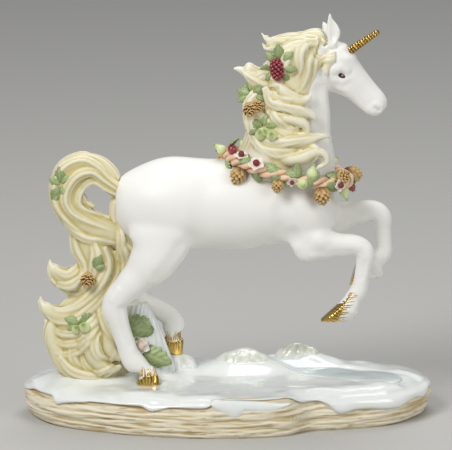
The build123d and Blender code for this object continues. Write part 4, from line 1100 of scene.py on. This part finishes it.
def add_berry(shell, seat, axis, wide):
    """A round berry with a crown of points."""
    turns = np.linspace(0, np.pi, 11)
    profile = np.column_stack([np.sin(turns), 1 - np.cos(turns)]) * wide / 2
    # Lighter round the middle as painted highlight, darker at both ends as painted shade
    shell.lathe(seat, axis, profile, 18, 0.45 + 0.3 * np.sin(turns) ** 2)
    axis = unit(axis)
    across, other = square_to(axis, [0.3, 0.2, 0.9])
    point = np.array([(0.09, 0), (0.05, 0.12), (0.01, 0.2)]) * wide
    for index in range(CROWN_POINTS):
        turn = 2 * np.pi * index / CROWN_POINTS
        out = math.cos(turn) * across + math.sin(turn) * other
        shell.lathe(seat + axis * wide * 0.93 + out * wide * 0.14, axis + 0.7 * out, point, 6, 0.05)


def add_blossom(shell, seat, facing, wide, heart, tone):
    """An open blossom of five cupped petals round a bead, with the painted value and the tone of its heart."""
    facing = unit(facing)
    across, other = square_to(facing, [0.1, 0.2, 0.97])
    reach = np.linspace(0, 1, 6)[:, None]
    spread = np.linspace(-1, 1, 7)[None, :]
    half = wide * 0.24 * np.sin(np.pi * (0.12 + 0.76 * reach)) ** 0.8
    height = wide * (0.1 + 0.12 * reach**2 + 0.06 * spread**2)
    paint = np.clip(heart + 0.1 + 0.8 * reach * np.ones_like(spread), 0, 1)
    for index in range(PETALS):
        turn = 2 * np.pi * index / PETALS + 0.3
        out = math.cos(turn) * across + math.sin(turn) * other
        grid = (
            seat + out * (wide * 0.5 * reach * (1 - 0.12 * spread**2))[..., None]
            + np.cross(facing, out) * (half * spread)[..., None] + facing * height[..., None]
        )
        shell.slab(grid, -facing * 0.5, paint)
    bead = np.linspace(0, np.pi, 7)
    profile = np.column_stack([np.sin(bead) * 0.2, 0.2 - 0.2 * np.cos(bead)]) * wide
    shell.lathe(seat + facing * wide * 0.08, facing, profile, 12, heart, tone)


def add_raspberry(shell, seat, axis, wide, long):
    """A raspberry: beads in a spiral over an egg."""
    axis = unit(axis)
    across, other = square_to(axis, [0.1, 0.95, 0.3])
    turns = np.linspace(0, np.pi, 6)
    bead = np.column_stack([np.sin(turns), 1 - np.cos(turns)]) * wide * 0.155
    for index in range(RASPBERRY_BEADS):
        turn = index * GOLDEN_TURN
        lift = 1 - 2 * (index + 0.5) / RASPBERRY_BEADS
        out = math.sqrt(1 - lift * lift) * (math.cos(turn) * across + math.sin(turn) * other)
        girth = wide / 2 * (1 + 0.12 * lift) * 0.84
        place = seat + out * girth + axis * lift * long / 2 * 0.9
        outward = unit(out + axis * lift * wide / long)
        # Each bead darkens to its root as painted shade and pales to its top as painted highlight
        shell.lathe(place - outward * wide * 0.1, outward, bead, 10, np.linspace(0.05, 0.85, 6))


# Garland

vine_low, vine_high = packed_box("garland_vine")
GARLAND_MIDDLE = (vine_low + vine_high) / 2 * [1, 0, 1]
GARLAND_TILT = math.radians(12.5)
GARLAND_AHEAD = np.array([math.cos(GARLAND_TILT), 0.0, -math.sin(GARLAND_TILT)])
GARLAND_UP = np.array([math.sin(GARLAND_TILT), 0.0, math.cos(GARLAND_TILT)])
GARLAND_HALF = (31.0, 22.5)
# Sprigs in the photograph: kind, pixel, and size beside the usual or turn of a leaf
GARLAND_SPRIGS = (
    ("cone", 243, 171, 0.92), ("cone", 279, 182, 0.72), ("cone", 321, 199, 0.95), ("cone", 336, 168, 0.75),
    ("pear", 226, 153, 1.0), ("pear", 301, 183, 1.05), ("pear", 309, 174, 1.1), ("pear", 341, 199, 1.0),
    ("berry", 233, 148, 1.15), ("blossom", 241, 140, 1.0), ("blossom", 257, 164, 1.1), ("blossom", 334, 183, 0.9),
    ("leaf", 237, 137, 120), ("leaf", 240, 158, 20), ("leaf", 252, 160, 160), ("leaf", 267, 163, 10),
    ("leaf", 258, 175, -90), ("leaf", 276, 171, 150), ("leaf", 284, 172, 20), ("leaf", 312, 186, 170),
    ("leaf", 322, 187, 10), ("leaf", 334, 166, 70), ("leaf", 343, 175, 30), ("leaf", 347, 196, -60),
    ("leaf", 296, 176, 100), ("leaf", 229, 143, 150), ("leaf", 231, 160, -60), ("leaf", 247, 152, 60),
    ("leaf", 272, 176, -30), ("leaf", 290, 187, -100), ("leaf", 305, 180, 40), ("leaf", 316, 178, 120),
    ("leaf", 328, 192, -20), ("leaf", 337, 176, 140), ("blossom", 292, 181, 0.7), ("berry", 350, 186, 0.9),
)
# The far side follows the same order of fruit round the ring, in degrees from the chest
FAR_SPRIGS = (
    ("leaf", 12), ("cone", 26), ("leaf", 38), ("pear", 48), ("leaf", 58), ("blossom", 68), ("leaf", 80), ("cone", 92),
    ("leaf", 103), ("berry", 112), ("leaf", 122), ("pear", 132), ("leaf", 143), ("cone", 153), ("leaf", 164),
    ("berry", 174),
)


def ring_frame(turn):
    """Place on the garland's middle line, and the ways out of the ring and on round it."""
    ahead, side = math.cos(turn), math.sin(turn)
    place = GARLAND_MIDDLE + GARLAND_HALF[0] * ahead * GARLAND_AHEAD - GARLAND_HALF[1] * side * FACING
    out = unit(GARLAND_HALF[1] * ahead * GARLAND_AHEAD - GARLAND_HALF[0] * side * FACING)
    return place, out, np.cross(GARLAND_UP, out)


def ring_seat(px, py, radius):
    """Seat on the near side of the vine under a pixel of the photograph."""
    turns = np.radians(np.linspace(-180, 0, 181))
    lines = [column_at(ring_frame(turn)[0][0]) for turn in turns]
    turn = turns[int(np.argmin(np.abs(np.array(lines) - px)))]
    place, out, onward = ring_frame(turn)
    wanted = photo_point(px, py, place[1])[2] - place[2]
    tip = np.clip(wanted / (radius * 1.25), -0.85, 0.95)
    facing = unit(out * math.sqrt(1 - tip * tip) + GARLAND_UP * tip)
    return place + facing * radius, facing, onward


# Vine: strands, and times that they wind round each other
VINE_STRANDS = 3
VINE_WINDS = 9
BLOSSOM_WIDTH = 8.0
GARLAND_LEAF_SHARE = 0.74


class UNICORN_OT_garland(bpy.types.Operator):
    """Twist the vine round the neck and set its leaves, cones, pears, berries and blossoms"""

    bl_idname = "unicorn.garland"
    bl_label = "Garland"

    def execute(self, context):
        vine_half = size_of("vine") / 2
        vine = Shell()
        around = np.linspace(0, 2 * np.pi, 14, endpoint=False)
        for strand in range(VINE_STRANDS):
            rings, paint = [], []
            for turn in np.linspace(0, 2 * np.pi, 260, endpoint=False):
                place, out, _ = ring_frame(turn)
                wind = VINE_WINDS * turn + strand * 2 * np.pi / VINE_STRANDS
                outer = math.cos(wind) * out + math.sin(wind) * GARLAND_UP
                knot = 1 + 0.14 * noise.noise(Vector((turn * 9, strand * 4.0, 0.0)))
                ring = np.cos(around)[:, None] * out + np.sin(around)[:, None] * GARLAND_UP
                rings.append(place + outer * vine_half * 0.46 + ring * vine_half * 0.56 * knot)
                # Each strand darker where it faces in towards the others: painted shade
                paint.append(np.clip(0.5 + 0.6 * (ring @ outer - 0.3), 0, 1))
            vine.tube(np.array(rings + rings[:1]), np.array(paint + paint[:1]))
        vine.make("vine_twist", "vine enamel", ["garland_vine"])

        shells = {kind: Shell() for kind in SPRIGS}
        seats = [(kind, *ring_seat(px, py, vine_half), extra) for kind, px, py, extra in GARLAND_SPRIGS]
        for index, (kind, degrees) in enumerate(FAR_SPRIGS):
            place, out, onward = ring_frame(math.radians(degrees))
            facing = unit(out + GARLAND_UP * 0.6 * math.sin(index * 2.3))
            extra = 60.0 * math.sin(index * 1.9) if kind == "leaf" else 1.0
            seats.append((kind, place + facing * vine_half, facing, onward, extra))
        for index, (kind, seat, facing, onward, extra) in enumerate(seats):
            shell, sunk = shells[kind], seat - facing * 0.8
            if kind == "leaf":
                up = np.cross(facing, onward)
                up *= np.sign(up[2])
                ahead = unit(onward - facing * (onward @ facing)) * np.sign(onward[0] or 1)
                along = ahead * math.cos(math.radians(extra)) + up * math.sin(math.radians(extra))
                tone = 0.4 if index % 4 == 0 else 0.05
                add_leaf(shell, seat - facing * 0.3, facing, along, size_of("leaf") * GARLAND_LEAF_SHARE, tone)
            elif kind == "cone":
                wide = size_of("cone") * extra
                add_cone(shell, sunk, facing + np.array([0, 0, -0.55]), wide, wide * 1.05)
            elif kind == "pear":
                add_pear(shell, sunk, facing + np.array([0, 0, 0.35]), size_of("pear") * extra)
            elif kind == "berry":
                add_berry(shell, sunk, facing, size_of("berry") * extra)
            else:
                add_blossom(shell, sunk + facing * 0.5, facing, BLOSSOM_WIDTH * extra, 0.0, 1.0)
        make_sprigs("garland", shells)
        return {"FINISHED"}


# Sprays: leaves as pixel, turn in degrees and size; cones and pears as pixel and size
MANE_LEAVES = (
    (278, 61, 92, 0.75), (274, 63, 140, 0.6), (283, 62, 45, 0.6), (271, 69, 190, 0.55), (284, 70, -10, 0.6),
    (272, 74, 225, 0.5), (283, 76, -50, 0.5), (250, 92, 95, 0.7), (249, 94, 165, 0.72), (253, 93, 20, 0.75),
    (256, 97, -30, 0.6), (246, 97, 210, 0.55), (262, 127, 150, 0.75), (264, 126, 80, 0.55), (266, 127, 15, 0.8),
    (258, 131, 200, 0.5),
)
MANE_CONES = ((249, 107, 0.8), (257, 104, 0.7))
MANE_PEARS = ((260, 137, 1.05), (271, 138, 1.05), (265, 134, 0.85))
TAIL_LEAVES = (
    (61, 182, 95, 0.75), (60, 184, 150, 0.6), (62, 183, 40, 0.6), (60, 187, 240, 0.75), (62, 187, -60, 0.65),
    (59, 191, 250, 0.6), (94, 267, 60, 0.7), (95, 268, 15, 0.5), (79, 323, 165, 0.75), (80, 322, 25, 0.85),
    (76, 326, 205, 0.5),
)
TAIL_CONES = ((88, 276, 0.85),)
TAIL_PEARS = ((76, 331, 0.95), (85, 329, 1.1))
STUMP_LEAVES = ((153, 331, 172, 1.9), (148, 334, 125, 1.2), (143, 352, -22, 1.5), (150, 345, -75, 0.5))
STUMP_BLOSSOM = (140, 345)
STUMP_BLOSSOM_WIDTH = 10.8
RASPBERRY = (277.5, 71)
RASPBERRY_SIZE = (6.4, 10.8)


def lay_spray(prefix, tree, leaves, cones=(), pears=()):
    """Set leaves, cones and pears on a surface under pixels of the photograph."""
    shells = {kind: Shell() for kind in ("leaf", "cone", "pear")}
    for index, (px, py, turn, size) in enumerate(leaves):
        seat, facing = seat_at(tree, px, py)
        along = np.array([math.cos(math.radians(turn)), 0.0, math.sin(math.radians(turn))])
        tone = 0.35 if index % 3 == 0 else 0.05
        add_leaf(shells["leaf"], seat + facing * 0.2, facing, along, size_of("leaf") * size, tone)
    for px, py, size in cones:
        seat, facing = seat_at(tree, px, py)
        wide = size_of("cone") * size
        add_cone(shells["cone"], seat - facing * 1.5, facing + np.array([0, 0, -0.5]), wide, wide)
    for px, py, size in pears:
        seat, facing = seat_at(tree, px, py)
        add_pear(shells["pear"], seat - facing * 1.2, facing + np.array([0.1, 0, 0.5]), size_of("pear") * size)
    make_sprigs(prefix, shells)


class UNICORN_OT_sprays(bpy.types.Operator):
    """Set the sprays on the mane, the tail and the stump"""

    bl_idname = "unicorn.sprays"
    bl_label = "Sprays"

    def execute(self, context):
        mane_tree, stump_tree = piece_tree("mane_hair"), piece_tree("stump")
        lay_spray("mane", mane_tree, MANE_LEAVES, MANE_CONES, MANE_PEARS)
        lay_spray("tail", piece_tree("tail_hair"), TAIL_LEAVES, TAIL_CONES, TAIL_PEARS)
        lay_spray("stump", stump_tree, STUMP_LEAVES)
        flower = Shell()
        seat, facing = seat_at(stump_tree, *STUMP_BLOSSOM)
        add_blossom(flower, seat, facing, STUMP_BLOSSOM_WIDTH, 0.3, 0.0)
        flower.make("stump_flower", "blossom enamel", ["stump_blossom"])
        raspberry = Shell()
        seat, facing = seat_at(mane_tree, *RASPBERRY)
        add_raspberry(raspberry, seat + facing * 1.2, np.array([-0.1, 0.0, 1.0]), *RASPBERRY_SIZE)
        raspberry.make("raspberry", "berry enamel", ["mane_raspberry"])
        return {"FINISHED"}


# Ledge and snow

LEDGE_HALF = (105.0, 44.0)
LEDGE_HEIGHT = 17.0
SNOW_TOP = 21.2
# Plan outline as shares of half the length and half the depth, anticlockwise from the right end
LEDGE_OUTLINE = (
    (0.995, 0.30), (0.90, 0.70), (0.58, 0.93), (0.08, 0.995), (-0.46, 0.95), (-0.88, 0.66), (-0.998, 0.16),
    (-0.87, -0.42), (-0.56, -0.79), (-0.24, -0.97), (0.02, -0.995), (0.27, -0.90), (0.41, -0.67), (0.57, -0.60),
    (0.80, -0.42), (0.93, -0.12),
)
# Lower edge of the snow along the front, as pixels of the photograph
SNOW_EDGE = (
    (20, 384), (30, 385), (42, 388), (50, 396), (55, 405), (61, 403), (72, 402), (84, 402), (95, 398), (112, 397),
    (124, 398), (138, 404), (150, 411), (160, 409), (174, 405), (191, 402), (205, 397), (222, 393.5), (245, 393),
    (268, 394), (285, 396), (305, 398), (320, 399), (330, 405), (338, 414), (346, 413), (354, 409), (370, 408),
    (386, 409), (398, 408), (408, 402), (418, 396), (430, 395), (440, 394),
)
# A patch of snow caught on the front of the ledge: pixel across, upper and lower edge
SNOW_PATCH = (
    (209, 401, 402), (213, 400, 409), (222, 399, 414.5), (234, 399, 420.5), (241, 400, 417), (244, 400, 412),
    (260, 401, 413.5), (276, 401, 413), (286, 402, 407), (293, 402, 403),
)
# Stream: its middle line as shares of half the length and half the depth, and half its width
STREAM = ((0.20, 0.61, 5.0), (0.33, 0.44, 8.5), (0.50, 0.26, 11.0), (0.68, 0.10, 12.0), (0.85, 0.0, 11.0))
# Points round the ledge, and its sides: levels and the share of the outline at each, up to the rim
OUTLINE_POINTS = 460
SIDE_LEVELS = (0.0, 0.06, 0.3, 0.65, 0.9, 1.0)
SIDE_SHARES = (0.945, 0.965, 0.985, 1.0, 0.98)
LEDGE_RIM = 0.955
SNOW_RIM = 0.965
# What the snow drifts up round, how high it heaps there and how far it spreads
HEAPS = (
    ("front_boulder", 5.0, 1.7), ("rear_boulder", 4.4, 1.8), ("snow_rise", 2.4, 1.35), ("support_stump", 2.4, 1.35),
    ("tail_skirt", 2.4, 1.35),
)
# Boulders: piece, imported part, flutes, their depth, and how grey the stone is, which on the rear boulder is mostly
# painted shade
BOULDERS = (
    ("boulder_front", "front_boulder", 11, 0.8, 0.24), ("boulder_rear", "rear_boulder", 7, 0.7, 0.55),
    ("hoof_drift", "snow_rise", 7, 0.5, 0.15),
)
STUMP_FLUTES = 9
STUMP_FLUTE_DEPTH = 0.7
SNOW_BEAD = 1.7
STREAM_DEPTH = 1.3
# The front lip: its rise, and the pixels across over which its two ends fall away
LIP_RISE = 4.3
LIP_ENDS = ((203, 222), (288, 304))


def closed_outline():
    """The ledge's plan outline as even points, and the way out of it at each."""
    count, shares = OUTLINE_POINTS, np.array(LEDGE_OUTLINE) * LEDGE_HALF
    ring = even_curve(np.vstack([shares[-3:], shares, shares[:4]]), 8 * count)
    start = int(np.argmin(np.linalg.norm(ring[:4 * count] - shares[0], axis=1)))
    end = 4 * count + int(np.argmin(np.linalg.norm(ring[4 * count:] - shares[0], axis=1)))
    ring = even_curve(ring[start:end + 1], count + 1)[:-1]
    onward = unit(np.roll(ring, -1, axis=0) - np.roll(ring, 1, axis=0))
    return ring, np.column_stack([onward[:, 1], -onward[:, 0]])


def side_share(level, rim):
    """Share of the plan outline that the ledge's side has at a level, for a rim."""
    return np.interp(level, SIDE_LEVELS, (*SIDE_SHARES, rim))


def stream_route(count):
    """Even points along the stream's middle line, with half its width."""
    return even_curve([(x * LEDGE_HALF[0], y * LEDGE_HALF[1], width) for x, y, width in STREAM], count)


def stream_depth(places):
    """How far inside the stream's banks some places on the snow lie, from nought to one."""
    route = stream_route(60)
    gaps = np.linalg.norm(places[:, None, :2] - route[None, :, :2], axis=2)
    return 1 - eased((gaps / route[:, 2]).min(axis=1), 0.7, 1.1)


def snow_heaps(places):
    """How high the snow drifts up round the boulders, the stump and the tail."""
    height = np.zeros(len(places))
    for name, heap, spread in HEAPS:
        low, high = (corner[:2] for corner in packed_box(name))
        away = np.linalg.norm((places[:, :2] - (low + high) / 2) / ((high - low) / 2 + 3.0), axis=1)
        height = np.maximum(height, heap * (1 - eased(away, 0.6, spread)))
    return height


def turn_round(points):
    """Which way round their middle some points lie."""
    middle = points.mean(axis=0)
    return np.arctan2(points[:, 1] - middle[1], points[:, 0] - middle[0])


def lip_rise(ring):
    """How far the front lip of the ledge stands above the rest, up to the level of the snow."""
    across = column_at(ring[:, 0])
    share = eased(across, *LIP_ENDS[0]) * (1 - eased(across, *LIP_ENDS[1]))
    return LIP_RISE * share * (1 - eased(ring[:, 1], -20, 0))


class UNICORN_OT_ledge(bpy.types.Operator):
    """Comb the layered sides of the ledge"""

    bl_idname = "unicorn.ledge"
    bl_label = "Ledge"

    def execute(self, context):
        ring, outward = closed_outline()
        shell, rings, paint, tone = Shell(), [], [], []
        for level in np.linspace(0, 1, 40):
            height = level * (LEDGE_HEIGHT + lip_rise(ring))
            places = np.column_stack([ring * side_share(level, LEDGE_RIM), height])
            layers = rough(places * [0.055, 0.055, 0.62], 1.0)
            lines = rough(places * [0.12, 0.12, 1.9] + 7.0, 1.0)
            combed = 0.9 * layers + 0.55 * lines
            places[:, :2] += outward * (1.1 * combed * eased(level, 0.0, 0.12))[:, None]
            rings.append(places)
            paint.append(np.clip(0.4 - 0.7 * combed, 0, 1))
            # Darker towards the top of the side, just under the snow, and in the combed lines
            top_and_line_darkening = 0.6 * eased(level, 0.8, 1.0) + 0.9 * eased(lines, 0.42, 0.62) * (level < 0.95)
            tone.append(np.clip(top_and_line_darkening, 0, 1) * 0.8)
        rings.append(np.column_stack([ring * 0.88, np.full(len(ring), LEDGE_HEIGHT - 1.0)]))
        paint.append(paint[-1])
        tone.append(tone[-1])
        shell.tube(np.array(rings), np.array(paint), np.array(tone))
        shell.make("ledge_strata", "strata bisque", ["ledge"])
        return {"FINISHED"}


class UNICORN_OT_snow(bpy.types.Operator):
    """Pour the glazed snow over the ledge with its drips, boulders, stream and stump"""

    bl_idname = "unicorn.snow"
    bl_label = "Snow"

    def execute(self, context):
        self.pour_snow()
        for boulder in BOULDERS:
            self.set_boulder(*boulder)
        self.set_stump()
        self.freeze_stream()
        return {"FINISHED"}

    def pour_snow(self):
        """Pour the snow from the middle to the rim and down over it, with the patch caught on the front."""
        ring, outward = closed_outline()
        edge = np.array(SNOW_EDGE)
        front = height_at(np.interp(column_at(ring[:, 0]), edge[:, 0], edge[:, 1]), ring[:, 1])
        wave = np.column_stack([ring, np.zeros(len(ring))])
        back = 12.5 + 3.2 * rough(wave, 21.0) + 2.0 * rough(wave + 31.0, 9.0)
        lip = lip_rise(ring)
        lower = np.clip(back + (front - back) * (1 - eased(ring[:, 1], -14.0, 8.0)), 6.5, 16.3 + lip)
        lower = sum(weight * np.roll(lower, shift) for shift, weight in zip((2, 1, 0, -1, -2), (1, 2, 3, 2, 1))) / 9
        shell, rings, paint = Shell(), [], []
        for share in np.concatenate([np.linspace(0.004, 0.84, 44), np.linspace(0.855, 0.965, 9)]):
            drop = np.interp(share, [0.0, 0.845, 0.88, 0.92, 0.945, 0.965], [0.0, 0.0, 0.4, 1.1, 1.8, 2.6])
            places = np.column_stack([ring * share, SNOW_TOP - drop * (1 - lip / 5.0)])
            depth = stream_depth(places)
            lumps = rough(places + 50.0, 19.0) + 0.5 * rough(places, 8.0)
            heaps = snow_heaps(places)
            places[:, 2] += (0.45 + 0.75 * eased(share, 0.45, 0.9)) * lumps + heaps - STREAM_DEPTH * depth
            places[:, 2] = np.maximum(places[:, 2], LEDGE_HEIGHT + 0.8)
            rings.append(places)
            # Darker between the lumps as painted shade, and tinted grey-blue within the stream's banks
            paint.append(np.clip(0.22 - 0.5 * lumps + 0.45 * depth, 0, 1))
        top = rings[-1][:, 2]
        for share in np.linspace(0.12, 1.0, 9):
            height = top + (lower - top) * share
            scale = side_share(height / (LEDGE_HEIGHT + lip), SNOW_RIM)
            if share > 0.58:
                bead = SNOW_BEAD * math.sqrt(max(1 - ((share - 0.58) / 0.45) ** 2, 0.0))
            else:
                bead = SNOW_BEAD * eased(share, 0.0, 0.58)
            swell = outward * ((bead + 0.2) * (1 - lip / 6))[:, None]
            rings.append(np.column_stack([ring * scale[:, None] + swell, height]))
            # Darker towards the foot of the drips: painted shade under the bead
            paint.append(np.full(len(ring), 0.12 + 0.35 * share**3))
        rings.append(np.column_stack([ring * 0.95, lower + 0.6]))
        rings.append(np.column_stack([ring * 0.5, np.full(len(ring), LEDGE_HEIGHT - 0.5)]))
        paint += [np.full(len(ring), 0.5)] * 2
        shell.tube(np.array(rings), np.array(paint))

        side = ring[(ring[:, 1] < 0) & (ring[:, 0] > -9.0) & (ring[:, 0] < 33.0)]
        side = side[np.argsort(side[:, 0])]
        patch = np.array(SNOW_PATCH)
        grid = np.zeros((9, len(side), 3))
        for row, share in enumerate(np.linspace(0, 1, 9)):
            line = np.interp(column_at(side[:, 0]), patch[:, 0], patch[:, 1] + share * (patch[:, 2] - patch[:, 1]))
            grid[row, :, :2] = side * 0.985 + FACING[:2] * (1.9 * math.sin(math.pi * share) ** 0.6 - 0.8)
            grid[row, :, 2] = height_at(line, side[:, 1])
        shell.slab(grid, np.array([0.0, 2.0, 0.0]), 0.2)
        shell.make("snow_pour", "snow glaze", ["snow_cap"])

    def set_boulder(self, name, part, ridges, depth, deep):
        """Flute a boulder, grey its clefts with stone colour and painted shade, and let it run out into the snow."""
        skin = Skin([part], cell=0.55, swell=0.1, rounds=3)
        lumps = rough(skin.points, 8.0) + 0.5 * rough(skin.points, 3.5)
        flutes = np.abs(np.sin(turn_round(skin.points) * ridges / 2 + 2.6 * lumps))
        slope = 1 - np.abs(skin.normals()[:, 2]) ** 2
        skin.points += skin.normals() * (depth * (flutes - 0.6) * slope + 0.9 * lumps)[:, None]
        # Grey stone on the slopes and painted shade in the clefts, fading to white at the foot
        skin.paint = np.clip(deep + 0.45 * (0.6 - flutes) * slope + 0.2 * slope - 0.2 * lumps, 0, 1)
        skin.paint *= 0.2 + 0.8 * eased(skin.points[:, 2], SNOW_TOP + 3, SNOW_TOP + 9)
        skin.relax(3)
        skin.points[:, 2] = np.maximum(skin.points[:, 2], SNOW_TOP - 1.6)
        skin.shell().make(name, "frosted stone", [part])

    def set_stump(self):
        """Flute the stump above the snow."""
        stump = Skin(["support_stump"], cell=0.5, swell=0.1, rounds=2)
        turn = turn_round(stump.points)
        flutes = np.abs(np.sin(turn * STUMP_FLUTES + 0.7 * rough(stump.points, 9.0))) ** 0.7
        rise = eased(stump.points[:, 2], SNOW_TOP, SNOW_TOP + 8)
        stump.points += stump.normals() * (STUMP_FLUTE_DEPTH * (flutes - 0.5) * rise)[:, None]
        # Painted shade in the grooves between the flutes
        stump.paint = np.clip(0.75 - 0.6 * flutes, 0, 1)
        stump.relax(1)
        stump.shell().make("stump", "snow glaze", ["support_stump"])

    def freeze_stream(self):
        """Lay the rippled ice in its channel."""
        pond = Shell()
        route = stream_route(70)
        along = unit(np.gradient(route[:, :2], axis=0))
        across = np.linspace(-1, 1, 17)
        bank = np.column_stack([-along[:, 1], along[:, 0]])
        share = np.linspace(-1, 1, len(route))
        taper = np.sqrt(np.clip(1 - np.abs(share * 0.995) ** 7, 0, 1)) * route[:, 2]
        grid = np.zeros((len(route), len(across), 3))
        grid[..., :2] = route[:, None, :2] + bank[:, None, :] * (across[None, :] * taper[:, None])[..., None]
        ripple = rough(grid.reshape(-1, 3) + 11.0, 8.0).reshape(grid.shape[:2])
        shelving = 0.6 * np.abs(across[None, :]) ** 3
        grid[..., 2] = SNOW_TOP - 0.3 + 0.25 * ripple - shelving - 0.8 * np.abs(share)[:, None] ** 9
        shore = np.maximum(across[None, :] ** 2, np.abs(share)[:, None] ** 5)
        pond.slab(grid, np.array([0, 0, -0.7]), np.clip(0.62 * (1 - shore) + 0.35 * ripple, 0, 1))
        pond.make("stream_glaze", "ice glaze", ["ice_stream"])


# Stage

FLOOR_HALF = 6.0
# Lamps: name, place and size in metres, and watts; they all look at the middle of the figure
LAMPS = (
    ("key lamp", (-0.55, -0.75, 0.95), 0.5, 10.0), ("fill lamp", (0.8, -0.7, 0.55), 0.6, 3.6),
    ("top lamp", (0.1, 0.35, 1.1), 0.6, 4.4),
)
LAMP_TARGET = Vector((0.0, 0.0, 0.1))
WORLD_STRENGTH = 0.32


class UNICORN_OT_stage(bpy.types.Operator):
    """Set the pale floor, the soft lamps and the camera of the photograph"""

    bl_idname = "unicorn.stage"
    bl_label = "Stage"

    def execute(self, context):
        scene = context.scene
        mesh = bpy.data.meshes.new("floor")
        corners = [(x * FLOOR_HALF, y * FLOOR_HALF, 0) for x, y in ((-1, -1), (1, -1), (1, 1), (-1, 1))]
        mesh.from_pydata(corners, [], [(0, 1, 2, 3)])
        floor = bpy.data.objects.new("floor", mesh)
        scene.collection.objects.link(floor)
        paper = bpy.data.materials.new("backdrop paper")
        paper.use_nodes = True
        sheet = paper.node_tree.nodes["Principled BSDF"].inputs
        sheet["Base Color"].default_value, sheet["Roughness"].default_value = solid_colour("#BCBBB7"), 0.9
        mesh.materials.append(paper)

        world = bpy.data.worlds.new("studio")
        world.use_nodes = True
        sky = world.node_tree.nodes["Background"].inputs
        sky["Color"].default_value, sky["Strength"].default_value = solid_colour("#E9EAEC"), WORLD_STRENGTH
        scene.world = world
        for name, place, size, watts in LAMPS:
            lamp = bpy.data.lights.new(name, "AREA")
            lamp.size, lamp.energy = size, watts
            holder = bpy.data.objects.new(name, lamp)
            holder.location = place
            holder.rotation_euler = (LAMP_TARGET - Vector(place)).to_track_quat("-Z", "Y").to_euler()
            scene.collection.objects.link(holder)

        lens = bpy.data.cameras.new("photo camera")
        width, height = PHOTO_SIZE
        lens.sensor_width = 36.0
        lens.lens = lens.sensor_width * CAMERA_DISTANCE / (width * PIXEL)
        lens.clip_end = 20.0
        camera = bpy.data.objects.new("photo camera", lens)
        aim = photo_point(width / 2, height / 2)
        camera.location = (aim - VIEW * CAMERA_DISTANCE) * MM
        camera.rotation_euler = Vector(VIEW).to_track_quat("-Z", "Y").to_euler()
        scene.collection.objects.link(camera)
        scene.camera = camera
        scene.view_settings.view_transform = "Standard"
        return {"FINISHED"}


class UNICORN_PT_figurine(bpy.types.Panel):
    """Pieces, sizes and colours of the figurine"""

    bl_idname = "UNICORN_PT_figurine"
    bl_label = "Figurine"
    bl_space_type = "VIEW_3D"
    bl_region_type = "UI"
    bl_category = "Figurine"

    def draw(self, context):
        for step in STEPS:
            self.layout.operator(step.bl_idname)
        for group in (context.scene.figurine_sizes, context.scene.figurine_colours):
            for name in group.__annotations__:
                self.layout.prop(group, name)


STEPS = (
    UNICORN_OT_stage, UNICORN_OT_ledge, UNICORN_OT_snow, UNICORN_OT_figure, UNICORN_OT_eyes, UNICORN_OT_gilding,
    UNICORN_OT_mane, UNICORN_OT_tail, UNICORN_OT_garland, UNICORN_OT_sprays,
)
CLASSES = (FigurineSizes, FigurineColours, *STEPS, UNICORN_PT_figurine)


def register():
    """Add the classes and the settings to Blender."""
    for item in CLASSES:
        bpy.utils.register_class(item)
    bpy.types.Scene.figurine_sizes = bpy.props.PointerProperty(type=FigurineSizes)
    bpy.types.Scene.figurine_colours = bpy.props.PointerProperty(type=FigurineColours)


def unregister():
    """Take the classes and the settings away."""
    del bpy.types.Scene.figurine_colours
    del bpy.types.Scene.figurine_sizes
    for item in reversed(CLASSES):
        bpy.utils.unregister_class(item)


def main():
    """Make every piece in order."""
    register()
    for step in STEPS:
        group, name = step.bl_idname.split(".")
        getattr(getattr(bpy.ops, group), name)()


if __name__ == "__main__":
    main()
